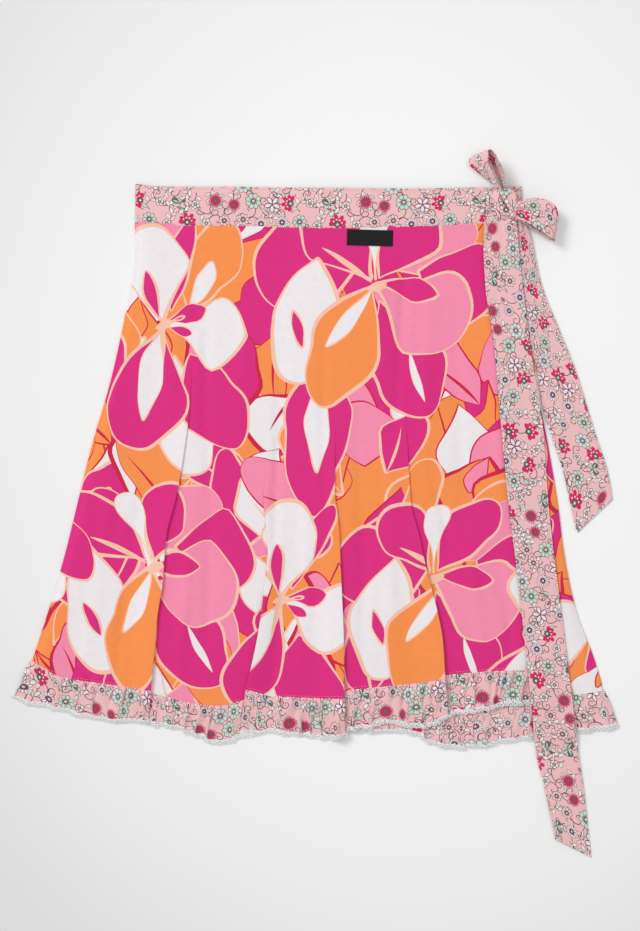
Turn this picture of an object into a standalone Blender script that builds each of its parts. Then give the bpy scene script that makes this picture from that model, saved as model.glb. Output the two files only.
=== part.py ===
# A knee-length wrap skirt lying flat, tied in a bow at its right side.
#
# The skirt lies face up on Z = 0 with its waistband towards +Y. Three panels lie on each
# other: the back, the under-wrap and the over-wrap. Each carries a gathered ruffle with a
# narrow lace edge at its hem and a stretch of waistband at its top. All tables are in
# millimetres; "drop" is how far a level lies below the waist seam line.

from collections import namedtuple
from math import cos, pi, sin

import bmesh
import bpy
from mathutils import Vector

for item in list(bpy.data.objects):
    bpy.data.objects.remove(item, do_unlink=True)

MM = 0.001
CLOTH = 1.0             # wall of one layer of panel, ruffle, lace or tie
BAND_CLOTH = 1.6        # wall of a waistband stretch, which is folded double
LABEL_CLOTH = 0.8
GAP = 0.3               # between pieces that touch or are sewn together

WAIST_Y = 277.0         # the waist seam line in the skirt's own frame
SIDE_ROLL = 1.7         # width over which a front layer turns down round a side fold
BACK_INSET = 3.2        # how far the back layer stays inside the side folds
LACE_WIDTH = 4.0

UNDER_LEVEL = CLOTH + GAP               # underside of the under-wrap
OVER_LEVEL = 2 * (CLOTH + GAP) + 0.1    # underside of the over-wrap where it lies on both
UNDER_EDGE_RISE = (30.0, 12.0)          # the over-wrap climbs between these distances
                                        # before the under-wrap's free edge
BAND_STEP = BAND_CLOTH + GAP            # height of one waistband layer
WAIST_BLEND = 45.0      # drop over which a panel settles from the band's height to its own

SIDE_LOFT = 2.4         # the cloth stands this much higher just inside a side fold
LOFT_PEAK, LOFT_REACH = 9.0, 48.0

FOLD_FOOT = 2.2         # width of the steep side of a lapped fold
OVER_WAVE, UNDER_WAVE = 3.4, 1.1            # height of the gathers at the hem
OVER_PITCH, UNDER_PITCH, BACK_PITCH = 16.5, 18.0, 90.0
GATHER_STEPS = 4        # divisions of one gather
RUFFLE_LIFT = 1.3       # the over ruffle stands this much above its panel at the hem
HEM_DROP = 460.0        # the level at which a panel's lines are counted as its hem
HEM_SIDES = (-284.6, 286.0)     # where the hem seams meet the side folds
RUFFLE_SIDES = (-299.0, 299.0)  # where the ruffles' edges end
FAN_REACH = 30.0


def table(columns, *rows):
    Row = namedtuple("Row", columns)
    return [Row(*row) for row in rows]


# One row per level: left side fold, over-wrap's free edge, right side fold, and the
# under-wrap's own free edge, which lies hidden between the layers.
OUTLINE = table(
    "drop left free right under_free",
    (-45, -180.5, 186.0, 203.5, -2.0),
    (0, -182.5, 186.0, 204.5, 0.0),
    (30, -182.0, 188.0, 206.5, 2.0),
    (80, -190.5, 191.0, 211.0, 5.0),
    (150, -205.5, 198.0, 218.0, 9.0),
    (225, -227.0, 208.5, 231.5, 14.0),
    (280, -240.5, 214.0, 240.5, 18.0),
    (325, -251.5, 218.5, 246.0, 21.0),
    (380, -267.5, 224.0, 257.5, 25.0),
    (434, -285.0, 229.5, 277.0, 28.0),
    (466, -296.0, 232.0, 286.5, 30.0),
    (520, -305.0, 234.0, 299.5, 33.0),
)

# The waistband's two long edges, which dip a little at the middle.
WAISTBAND = table(
    "x top seam",
    (-184, 319.0, 279.2),
    (-157, 316.5, 277.2),
    (-20, 315.2, 274.8),
    (8, 314.4, 273.6),
    (97, 314.2, 275.6),
    (162, 314.6, 278.0),
    (206, 317.2, 279.0),
)

# Hems: drop of the seam that carries the ruffle, and drop of the lace's outer edge. The
# over-wrap's hem jumps where a lapped fold runs through it.
HEM_OVER = table(
    "x seam edge",
    (-300, 430.0, 464.0),
    (-285, 434.0, 475.0),
    (-256, 450.5, 486.0),
    (-219, 457.0, 495.0),
    (-163, 467.5, 500.0),
    (-128, 477.0, 508.5),
    (-100, 480.0, 519.0),
    (-77, 475.0, 513.0),
    (-71, 463.5, 509.5),
    (-46, 470.0, 508.0),
    (0, 472.3, 513.0),
    (25, 471.8, 512.5),
    (31, 464.0, 505.5),
    (79, 459.0, 498.5),
    (105, 456.0, 502.8),
    (129, 451.5, 493.5),
    (164, 445.5, 485.5),
    (196, 444.0, 479.0),
    (236, 443.0, 480.0),
)
HEM_UNDER = table(
    "x seam edge",
    (20, 468.0, 507.5),
    (90, 473.0, 507.5),
    (121, 479.0, 521.5),
    (156, 480.0, 523.5),
    (193, 475.5, 516.0),
    (216, 472.5, 513.0),
    (257, 468.5, 507.0),
    (286, 464.5, 502.0),
    (302, 461.0, 499.5),
)
HEM_BACK = table(
    "x seam edge",
    (-300, 428.0, 458.0),
    (-284, 434.0, 467.0),
    (-215, 452.0, 486.0),
    (-100, 461.0, 497.0),
    (40, 462.0, 499.0),
    (160, 466.0, 503.0),
    (286, 460.0, 495.0),
    (302, 458.0, 493.0),
)

# The four lapped folds of the over-wrap: where each line runs at five levels, the drop at
# which it begins, its height at the hem, the width over which it rises, and the side that
# lies on top (-1 left, +1 right).
FOLD_LEVELS = (0, 115, 230, 340, 465)
FOLDS = table(
    "name waist high middle low hem start height width top_side",
    ("left", -120.0, -125.5, -134.5, -153.0, -167.0, 70, 3.6, 30, -1),
    ("left_middle", -40.0, -45.0, -50.0, -51.0, -74.0, 190, 3.8, 32, 1),
    ("right_middle", 15.0, 17.0, 18.0, 24.0, 28.0, 170, 4.4, 34, -1),
    ("right", 88.0, 84.0, 90.0, 109.0, 130.0, 60, 5.0, 38, -1),
)

# The two tails of the bow, a row for each level; the last rows are the slanted ends.
LONG_TAIL = table(
    "drop left right",
    (-19, 182.0, 196.0),
    (-4, 168.0, 197.5),
    (20, 165.4, 200.0),
    (60, 167.3, 204.5),
    (120, 176.0, 211.7),
    (200, 183.0, 224.7),
    (280, 190.5, 230.5),
    (325, 196.3, 235.5),
    (390, 203.8, 243.9),
    (475, 212.8, 254.1),
    (530, 218.9, 261.0),
    (560, 226.5, 265.6),
    (602, 234.2, 271.0),
    (622, 237.5, 273.6),
)
LONG_TAIL_SLANT = 18.0       # the right corner of the end lies this much lower
SHORT_TAIL = table(
    "drop left right",
    (-17, 188.0, 200.0),
    (10, 187.0, 211.8),
    (58, 194.0, 223.7),
    (109, 209.0, 243.5),
    (146, 219.5, 258.0),
    (182, 225.5, 269.4),
    (214, 235.0, 279.6),
    (243, 245.3, 288.9),
    (290, 259.5, 294.5),
)
SHORT_TAIL_SLANT = -33.0     # here it is the left corner that lies lower

# The bow's two loops, a row for each section along the ribbon, from the knot round the
# loop's tip and back: both edges of the ribbon.
RIGHT_LOOP = table(
    "near_x near_y near_z far_x far_y far_z",
    (207.3, 286.0, 12.4, 207.3, 299.0, 12.4),
    (216.0, 268.5, 7.5, 218.0, 300.0, 8.0),
    (227.0, 260.5, 6.8, 229.0, 299.0, 7.6),
    (234.0, 259.3, 8.0, 236.0, 294.0, 9.0),
    (237.0, 261.5, 12.0, 239.2, 288.0, 13.0),
    (235.0, 265.0, 16.4, 236.4, 295.0, 17.4),
    (226.0, 269.5, 18.0, 229.0, 301.8, 19.0),
    (216.0, 275.0, 17.8, 218.0, 302.2, 18.8),
    (207.3, 285.0, 15.6, 207.3, 300.0, 16.0),
)
UPPER_LOOP = table(
    "near_x near_y near_z far_x far_y far_z",
    (186.3, 310.1, 11.8, 186.7, 310.1, 17.2),
    (173.5, 321.5, 6.8, 178.0, 324.5, 24.0),
    (161.0, 332.5, 5.6, 174.4, 337.0, 26.0),
    (153.0, 340.5, 5.4, 171.2, 348.5, 25.4),
    (156.5, 346.5, 5.2, 170.8, 352.4, 25.0),
    (166.5, 351.6, 5.6, 172.6, 353.6, 24.6),
    (176.0, 351.2, 6.6, 175.6, 350.5, 25.0),
    (182.6, 342.5, 6.8, 178.6, 339.5, 26.0),
    (187.6, 330.5, 7.0, 182.6, 326.5, 24.0),
    (191.0, 311.7, 11.8, 190.0, 311.5, 17.2),
)
LOOP_STEPS = 3          # finer sections between two rows of a loop's table
RIBBON_STEPS = 4        # divisions across a ribbon
TAIL_STEP = 10.0        # distance between two levels of a tail

KNOT_CENTRE = (194.2, 297.4, 14.7)
KNOT_HALF = (12.4, 13.6, 6.2)
KNOT_SQUARENESS = 0.72  # 1 is an ellipsoid, less is squarer
KNOT_RINGS, KNOT_SEGMENTS = 8, 16

LABEL_CENTRE = (52.3, 264.6)
LABEL_SIZE = (46.0, 16.0)
LABEL_TURN = -0.026     # radians

DRAPE_SLOPE = 0.40      # how steeply a tie comes down from what it lies on
DRAPE_LEVEL = 10.0      # how far it stays level past an edge before it comes down
DRAPE_REACH = (3.0, 6.0, 10.0, 15.0, 21.0, 28.0)

# Base colour and roughness of each material.
PRINT_CLOTH = ("large_flower_print", (0.82, 0.22, 0.33), 0.72)
FLORAL_CLOTH = ("small_flower_print", (0.84, 0.47, 0.46), 0.75)
LACE_THREAD = ("white_lace", (0.86, 0.84, 0.84), 0.85)
BLACK_WEAVE = ("black_woven_tape", (0.012, 0.012, 0.014), 0.6)


def value_at(rows, key, column, where):
    """A smooth curve through one column of a table, read at one value of its key."""
    keys = [getattr(row, key) for row in rows]
    values = [getattr(row, column) for row in rows]
    return curve(keys, values, where)


def curve(keys, values, where):
    where = min(max(where, keys[0]), keys[-1])
    i = 0
    while i < len(keys) - 2 and where > keys[i + 1]:
        i += 1
    width = keys[i + 1] - keys[i]
    rise = (values[i + 1] - values[i]) / width
    before = rise if i == 0 else (values[i] - values[i - 1]) / (keys[i] - keys[i - 1])
    after = rise if i + 2 == len(keys) else (values[i + 2] - values[i + 1]) / (keys[i + 2] - keys[i + 1])
    # A slope that would overshoot between two rows is set to nothing.
    start = 0.0 if before * rise <= 0 else 2 * before * rise / (before + rise)
    end = 0.0 if after * rise <= 0 else 2 * after * rise / (after + rise)
    t = (where - keys[i]) / width
    h00 = 2 * t**3 - 3 * t**2 + 1
    h10 = t**3 - 2 * t**2 + t
    h01 = -2 * t**3 + 3 * t**2
    h11 = t**3 - t**2
    return h00 * values[i] + h10 * width * start + h01 * values[i + 1] + h11 * width * end


def smooth(t):
    t = min(max(t, 0.0), 1.0)
    return t * t * (3 - 2 * t)


def outline(column, drop):
    return value_at(OUTLINE, "drop", column, drop)


def fold_line(fold, drop):
    return curve(FOLD_LEVELS, (fold.waist, fold.high, fold.middle, fold.low, fold.hem), drop)


def fold_rise(x, drop):
    """Height that the lapped folds add to the over-wrap."""
    rise = 0.0
    for fold in FOLDS:
        grown = smooth((drop - fold.start) / (FOLD_LEVELS[-1] - fold.start))
        inward = (x - fold_line(fold, drop)) * fold.top_side
        if inward < 0:
            rise += fold.height * grown * smooth(1 + inward / FOLD_FOOT)
        else:
            rise += fold.height * grown * (1 - smooth(inward / fold.width))
    return rise


def side_loft(distance):
    """Height near a side fold, at a distance inside its edge."""
    if distance < LOFT_PEAK:
        return SIDE_LOFT * smooth((distance - SIDE_ROLL) / (LOFT_PEAK - SIDE_ROLL))
    return SIDE_LOFT * (1 - smooth((distance - LOFT_PEAK) / (LOFT_REACH - LOFT_PEAK)))


def rolled(height, distance):
    """Brings a layer down to the table over the width of a side fold."""
    return height * min(max(distance / SIDE_ROLL, 0.0), 1.0)


def climb(past_edge):
    """0 beside the under-wrap and 1 on it, by the distance past its free edge."""
    start, end = UNDER_EDGE_RISE
    return smooth((past_edge + start) / (start - end))


def over_low(x, drop):
    """Underside of the over-wrap."""
    on_under = climb(x - outline("under_free", drop))
    settled = UNDER_LEVEL + (OVER_LEVEL - UNDER_LEVEL) * on_under
    at_band = BAND_STEP * (1 + on_under) + 0.2
    level = at_band + (settled - at_band) * smooth(drop / WAIST_BLEND)
    edge = x - outline("left", drop)
    return rolled(level + side_loft(edge) + fold_rise(x, drop), edge)


def under_low(x, drop):
    """Underside of the under-wrap. It stands loose only beyond the over-wrap."""
    at_band = BAND_STEP + 0.2
    level = at_band + (UNDER_LEVEL - at_band) * smooth(drop / WAIST_BLEND)
    edge = outline("right", drop) - x
    clear = smooth((x - outline("free", drop) - 4) / 10)
    return rolled(level + 0.5 * side_loft(edge) * clear, edge)


def place(x, drop, height):
    return Vector((x, WAIST_Y - drop, height))


def material(finish):
    name, colour, roughness = finish
    made = bpy.data.materials.get(name) or bpy.data.materials.new(name)
    made.use_nodes = True
    shader = made.node_tree.nodes["Principled BSDF"]
    shader.inputs["Base Color"].default_value = (*colour, 1.0)
    shader.inputs["Roughness"].default_value = roughness
    shader.inputs["Metallic"].default_value = 0.0
    return made


def add_object(name, points, faces, finish):
    mesh = bpy.data.meshes.new(name)
    mesh.from_pydata([point * MM for point in points], [], faces)
    mesh.validate()
    work = bmesh.new()
    work.from_mesh(mesh)
    bmesh.ops.triangulate(work, faces=work.faces)
    bmesh.ops.recalc_face_normals(work, faces=work.faces)
    work.to_mesh(mesh)
    work.free()
    mesh.materials.append(material(finish))
    made = bpy.data.objects.new(name, mesh)
    bpy.context.scene.collection.objects.link(made)
    return made


def grid_faces(rows, columns, first=0, flip=False):
    faces = []
    for r in range(rows - 1):
        for c in range(columns - 1):
            a = first + r * columns + c
            face = (a, a + 1, a + columns + 1, a + columns)
            faces.append(face[::-1] if flip else face)
    return faces


def wall_lift(grid, r, c, thickness):
    """How far up the upper side lies, so that a sloping wall keeps its thickness."""
    left, right = grid[r][max(c - 1, 0)], grid[r][min(c + 1, len(grid[r]) - 1)]
    above, below = grid[max(r - 1, 0)][c], grid[min(r + 1, len(grid) - 1)][c]
    normal = (right - left).cross(above - below)
    upright = abs(normal.z) / max(normal.length, 1e-9)
    return thickness / max(upright, 0.45)


def lying_sheet(name, grid, thickness, finish):
    """A closed wall over a grid of points, which are its underside."""
    rows, columns = len(grid), len(grid[0])
    low = [point for row in grid for point in row]
    high = [
        grid[r][c] + Vector((0, 0, wall_lift(grid, r, c, thickness)))
        for r in range(rows)
        for c in range(columns)
    ]
    count = rows * columns
    faces = grid_faces(rows, columns, first=count, flip=True) + grid_faces(rows, columns)
    rim = [c for c in range(columns)]
    rim += [r * columns + columns - 1 for r in range(1, rows)]
    rim += [(rows - 1) * columns + c for c in range(columns - 2, -1, -1)]
    rim += [r * columns for r in range(rows - 2, 0, -1)]
    for a, b in zip(rim, rim[1:] + rim[:1]):
        faces.append((b, a, a + count, b + count))
    return add_object(name, low + high, faces, finish)


def fill(stations, widest):
    """Adds evenly spaced stations wherever two neighbours are too far apart."""
    filled = [stations[0]]
    for nearer, further in zip(stations, stations[1:]):
        parts = max(1, round((further - nearer) / widest))
        filled += [nearer + (further - nearer) * (k + 1) / parts for k in range(parts)]
    return filled


def panel(name, columns, rows, hem, low):
    """A panel between the waist seam and its hem; returns the points of its hem.

    columns are lines down the cloth, each a function from drop to x.
    """
    grid = []
    for r in range(rows + 1):
        t = r / rows
        line = []
        for column in columns:
            top = WAIST_Y - value_at(WAISTBAND, "x", "seam", column(0)) + GAP
            bottom = value_at(hem, "x", "seam", column(HEM_DROP))
            drop = top + (bottom - top) * t
            x = column(drop)
            line.append(place(x, drop, low(x, drop)))
        grid.append(line)
    lying_sheet(name, grid, CLOTH, PRINT_CLOTH)
    return grid[-1]


def between(left, right, share):
    return lambda drop: left(drop) + (right(drop) - left(drop)) * share


def over_columns():
    """Lines down the over-wrap: its edges, the shoulders of each fold, and fillers."""
    lines = [lambda drop: outline("left", drop)]
    for inset in (SIDE_ROLL, 5.0, LOFT_PEAK, 24.0):
        lines.append(lambda drop, inset=inset: outline("left", drop) + inset)
    for fold in FOLDS:
        offsets = [-FOLD_FOOT - 10, -FOLD_FOOT, -FOLD_FOOT / 2, 0, 5, 0.5 * fold.width, fold.width]
        for offset in sorted(offset * fold.top_side for offset in offsets):
            lines.append(lambda drop, fold=fold, offset=offset: fold_line(fold, drop) + offset)
    lines.append(lambda drop: outline("free", drop) - 12)
    lines.append(lambda drop: outline("free", drop))
    filled = [lines[0]]
    for nearer, further in zip(lines, lines[1:]):
        parts = max(1, round((further(300) - nearer(300)) / 26))
        filled += [between(nearer, further, (k + 1) / parts) for k in range(parts)]
    return filled


def side_columns(left, right, count, rolls):
    """Evenly spaced lines between two edges; rolls adds the lines of a right side fold."""
    lines = [between(left, right, k / count) for k in range(count)]
    if rolls:
        lines += [lambda drop, inset=inset: right(drop) - inset for inset in (LOFT_PEAK, 5.0, SIDE_ROLL)]
    return lines + [right]


def make_panels():
    back_left = lambda drop: outline("left", drop) + BACK_INSET
    back_right = lambda drop: outline("right", drop) - BACK_INSET
    back = panel("back_panel", side_columns(back_left, back_right, 12, False), 9, HEM_BACK,
                 lambda x, drop: 0.0)
    under_left = lambda drop: outline("under_free", drop)
    under_right = lambda drop: outline("right", drop)
    under = panel("under_wrap_panel", side_columns(under_left, under_right, 9, True), 10,
                  HEM_UNDER, under_low)
    over = panel("over_wrap_panel", over_columns(), 13, HEM_OVER, over_low)
    return back, under, over


def waistband(name, xs, inset, low):
    """A stretch of waistband between its top edge and the waist seam."""
    grid = []
    for share in (0.0, 0.5, 1.0):
        line = []
        for x in xs:
            top = value_at(WAISTBAND, "x", "top", x) - inset
            seam = value_at(WAISTBAND, "x", "seam", x)
            y = top + (seam - top) * share
            line.append(Vector((x, y, low(x))))
        grid.append(line)
    return lying_sheet(name, grid, BAND_CLOTH, FLORAL_CLOTH)


def make_waistbands():
    left, right = outline("left", -20), outline("right", -20)
    under_end, over_end = outline("under_free", -20), 196.0
    back = fill([left + BACK_INSET, right - BACK_INSET], 45)
    waistband("waistband_back", back, 0.6, lambda x: 0.0)
    under = fill([under_end, right - SIDE_ROLL, right], 45)
    waistband("waistband_under", under, 0.3, lambda x: rolled(BAND_STEP, right - x))
    start, end = UNDER_EDGE_RISE
    over = fill([left, left + SIDE_ROLL, under_end - start, under_end - end, over_end], 34)
    waistband(
        "waistband_over", over, 0.0,
        lambda x: rolled(BAND_STEP * (1 + climb(x - under_end)), x - left),
    )


def gather(x, pitch):
    """One soft wave per gather, unevenly spaced; 0 in a valley and 1 on a ridge."""
    phase = x / pitch + 0.33 * sin(x / 21.0) + 0.21 * sin(x / 8.7 + 1.0)
    return 0.5 - 0.5 * cos(2 * pi * phase)


def ruffle(name, lace_name, seam, hem, flare, wave, pitch, lift, rows):
    """A gathered ruffle sewn to a panel's hem, and the lace along its edge.

    seam is the panel's row of hem points; flare is how much of the ruffle's fanning out at
    the side folds it takes.
    """
    tops = [seam[0]]
    for nearer, further in zip(seam, seam[1:]):
        parts = max(1, round((further.x - nearer.x) * GATHER_STEPS / pitch))
        tops += [nearer.lerp(further, (k + 1) / parts) for k in range(parts)]

    def point(top, share, extra):
        seam_drop = WAIST_Y - top.y + GAP
        edge = value_at(hem, "x", "edge", top.x) - LACE_WIDTH - GAP
        drop = seam_drop + (edge - seam_drop) * share + extra
        from_side = min(top.x - HEM_SIDES[0], HEM_SIDES[1] - top.x)
        raised = (lift + wave * gather(top.x, pitch)) * min(max(from_side / LOFT_PEAK, 0.0), 1.0)
        return place(top.x + flare * fan(top.x) * share, drop, top.z + raised * share)

    grid = [[point(top, r / (rows - 1), 0.0) for top in tops] for r in range(rows)]
    lace = [[point(top, 1.0, extra) for top in tops] for extra in (GAP, GAP + LACE_WIDTH)]
    lying_sheet(name, grid, CLOTH, FLORAL_CLOTH)
    lying_sheet(lace_name, lace, CLOTH, LACE_THREAD)


def fan(x):
    """How far the ruffle's edge fans outward in the last stretch before a side fold."""
    left_share = smooth((HEM_SIDES[0] + FAN_REACH - x) / FAN_REACH)
    right_share = smooth((x - HEM_SIDES[1] + FAN_REACH) / FAN_REACH)
    return ((RUFFLE_SIDES[0] - HEM_SIDES[0]) * left_share
            + (RUFFLE_SIDES[1] - HEM_SIDES[1]) * right_share)


def make_ruffles(back, under, over):
    ruffle("ruffle_back", "lace_trim_back", back, HEM_BACK, 0.8, 0.0, BACK_PITCH, 0.0, 2)
    ruffle("ruffle_under", "lace_trim_under", under, HEM_UNDER, 1.0,
           UNDER_WAVE, UNDER_PITCH, 0.0, 3)
    ruffle("ruffle_over", "lace_trim_over", over, HEM_OVER, 1.0,
           OVER_WAVE, OVER_PITCH, RUFFLE_LIFT, 3)


def skirt_top(x, y):
    """Height of the skirt's upper surface, and 0 on the table beside it."""
    drop = WAIST_Y - y
    top_edge = WAIST_Y - value_at(WAISTBAND, "x", "top", x)
    seam = WAIST_Y - value_at(WAISTBAND, "x", "seam", x)
    if drop < top_edge or x < outline("left", drop) or x > outline("right", drop):
        return 0.0
    if drop < seam:
        layers = 3 if x <= 196.5 else 2
        return layers * BAND_STEP
    tops = []
    if drop < value_at(HEM_UNDER, "x", "edge", x) + 1:
        ruffled = smooth((drop - value_at(HEM_UNDER, "x", "seam", x)) / 30)
        tops.append(under_low(x, drop) + CLOTH + UNDER_WAVE * ruffled)
    if drop < value_at(HEM_OVER, "x", "edge", x) + 1 and x < outline("free", drop):
        ruffled = smooth((drop - value_at(HEM_OVER, "x", "seam", x)) / 30)
        raised = OVER_WAVE + RUFFLE_LIFT
        tops.append(over_low(x, drop) + CLOTH + raised * ruffled)
    return max(tops) + 1.5 * GAP if tops else 0.0


def draped(x, y, top):
    """Height at which a tie lies over a surface, coming down gently beyond it."""
    height = top(x, y)
    for reach in DRAPE_REACH:
        for k in range(8):
            angle = pi * k / 4
            near = top(x + reach * cos(angle), y + reach * sin(angle))
            height = max(height, near - DRAPE_SLOPE * max(0.0, reach - DRAPE_LEVEL))
    return height


def tail_grid(rows, slant, top, steps):
    """Points of a bow tail: its left and right edges by level, ending on a slant."""
    levels = fill([row.drop for row in rows], steps)
    start, end = levels[0], levels[-1]
    grid = []
    for drop in levels:
        left = value_at(rows, "drop", "left", drop)
        right = value_at(rows, "drop", "right", drop)
        tilt = slant * smooth((drop - end + 60) / 60)
        line = []
        for k in range(RIBBON_STEPS + 1):
            share = k / RIBBON_STEPS
            x = left + (right - left) * share
            y = WAIST_Y - drop - tilt * (share - 0.5)
            line.append(Vector((x, y, draped(x, y, top))))
        grid.append(line)
    return grid


def inside_tail(rows, x, y, margin):
    drop = WAIST_Y - y
    if drop < rows[0].drop - margin or drop > rows[-1].drop + margin:
        return False
    return (value_at(rows, "drop", "left", drop) - margin < x
            < value_at(rows, "drop", "right", drop) + margin)


def make_tails():
    short = tail_grid(SHORT_TAIL, SHORT_TAIL_SLANT, skirt_top, TAIL_STEP)
    lying_sheet("tie_tail_short", short, CLOTH, FLORAL_CLOTH)

    def skirt_and_short_tail(x, y):
        height = skirt_top(x, y)
        if inside_tail(SHORT_TAIL, x, y, 3.0):
            height = draped(x, y, skirt_top) + CLOTH * 1.15 + GAP
        return height

    long = tail_grid(LONG_TAIL, LONG_TAIL_SLANT, skirt_and_short_tail, TAIL_STEP)
    lying_sheet("tie_tail_long", long, CLOTH, FLORAL_CLOTH)


def ribbon_loop(name, sections):
    """A loop of the bow: a ribbon through its sections, thickened on both sides."""
    keys = list(range(len(sections)))
    stations = [k / LOOP_STEPS for k in range((len(sections) - 1) * LOOP_STEPS + 1)]
    edges = []
    for end in ("near", "far"):
        columns = [[getattr(row, f"{end}_{axis}") for row in sections] for axis in "xyz"]
        edges.append([Vector([curve(keys, column, at) for column in columns]) for at in stations])
    points = []
    for near, far in zip(*edges):
        points += [near.lerp(far, k / RIBBON_STEPS) for k in range(RIBBON_STEPS + 1)]
    faces = grid_faces(len(stations), RIBBON_STEPS + 1)
    loop = add_object(name, points, faces, FLORAL_CLOTH)
    wall = loop.modifiers.new("wall", "SOLIDIFY")
    wall.thickness = CLOTH * MM
    wall.offset = 0.0
    wall.use_even_offset = True
    return loop


def rounded(value, squareness):
    return abs(value) ** squareness * (1 if value >= 0 else -1)


def make_knot():
    """The wrapped knot, a soft squarish lump."""
    centre, half = Vector(KNOT_CENTRE), Vector(KNOT_HALF)
    points = [centre - Vector((0, 0, half.z))]
    for ring in range(1, KNOT_RINGS):
        tilt = pi * ring / KNOT_RINGS - pi / 2
        for k in range(KNOT_SEGMENTS):
            turn = 2 * pi * k / KNOT_SEGMENTS
            spread = rounded(cos(tilt), KNOT_SQUARENESS)
            offset = Vector((
                half.x * spread * rounded(cos(turn), KNOT_SQUARENESS),
                half.y * spread * rounded(sin(turn), KNOT_SQUARENESS),
                half.z * rounded(sin(tilt), KNOT_SQUARENESS),
            ))
            points.append(centre + offset)
    points.append(centre + Vector((0, 0, half.z)))
    last = len(points) - 1
    faces = []
    for k in range(KNOT_SEGMENTS):
        after = (k + 1) % KNOT_SEGMENTS
        faces.append((0, 1 + after, 1 + k))
        top = 1 + (KNOT_RINGS - 2) * KNOT_SEGMENTS
        faces.append((last, top + k, top + after))
        for ring in range(KNOT_RINGS - 2):
            a = 1 + ring * KNOT_SEGMENTS
            b = a + KNOT_SEGMENTS
            faces.append((a + k, a + after, b + after, b + k))
    return add_object("bow_knot", points, faces, FLORAL_CLOTH)


def make_label():
    """The black tape below the waistband, made on the over-wrap's own surface."""
    grid = []
    for across in (0.5, 0.0, -0.5):
        line = []
        for k in range(9):
            along = k / 8 - 0.5
            dx, dy = along * LABEL_SIZE[0], across * LABEL_SIZE[1]
            x = LABEL_CENTRE[0] + dx * cos(LABEL_TURN) - dy * sin(LABEL_TURN)
            y = LABEL_CENTRE[1] + dx * sin(LABEL_TURN) + dy * cos(LABEL_TURN)
            height = over_low(x, WAIST_Y - y) + CLOTH * 1.02 + GAP
            line.append(Vector((x, y, height)))
        grid.append(line)
    return lying_sheet("woven_label", grid, LABEL_CLOTH, BLACK_WEAVE)


make_ruffles(*make_panels())
make_waistbands()
make_tails()
ribbon_loop("bow_loop_right", RIGHT_LOOP)
ribbon_loop("bow_loop_upper", UPPER_LOOP)
make_knot()
make_label()
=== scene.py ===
import math

import bpy
import numpy as np
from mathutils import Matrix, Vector, geometry
from mathutils.bvhtree import BVHTree


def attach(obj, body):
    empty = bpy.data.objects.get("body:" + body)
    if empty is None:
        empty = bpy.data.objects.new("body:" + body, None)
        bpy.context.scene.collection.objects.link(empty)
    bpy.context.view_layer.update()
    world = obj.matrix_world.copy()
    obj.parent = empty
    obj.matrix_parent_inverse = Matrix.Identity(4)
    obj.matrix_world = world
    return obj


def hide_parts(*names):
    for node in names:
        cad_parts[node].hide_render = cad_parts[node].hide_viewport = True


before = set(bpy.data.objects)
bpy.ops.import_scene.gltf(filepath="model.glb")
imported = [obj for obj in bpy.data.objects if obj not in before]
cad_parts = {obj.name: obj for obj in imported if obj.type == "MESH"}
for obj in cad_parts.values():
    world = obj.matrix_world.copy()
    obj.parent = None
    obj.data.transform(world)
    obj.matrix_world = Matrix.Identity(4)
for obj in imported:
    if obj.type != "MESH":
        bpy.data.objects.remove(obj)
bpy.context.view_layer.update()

mm = 0.001
waistY = 277.0      # the waist seam line; a drop is measured down from it

# the outline by level: left side fold, free edge of the over-wrap, right side fold
outline = {
    "drop": [-45, 0, 30, 80, 150, 225, 280, 325, 380, 434, 466, 520],
    "left": [-180.5, -182.5, -182, -190.5, -205.5, -227, -240.5, -251.5, -267.5, -285, -296, -305],
    "free": [186, 186, 188, 191, 198, 208.5, 214, 218.5, 224, 229.5, 232, 234],
    "right": [203.5, 204.5, 206.5, 211, 218, 231.5, 240.5, 246, 257.5, 277, 286.5, 299.5],
    "underFree": [-2, 0, 2, 5, 9, 14, 18, 21, 25, 28, 30, 33],
}

waistband = {
    "x": [-184, -157, -20, 8, 97, 162, 206],
    "top": [319, 316.5, 315.2, 314.4, 314.2, 314.6, 317.2],
    "seam": [279.2, 277.2, 274.8, 273.6, 275.6, 278, 279],
    "depth": 40.0, "step": 1.9, "cloth": 1.3, "puff": 0.5, "overEnd": 196.0,
}

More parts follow.
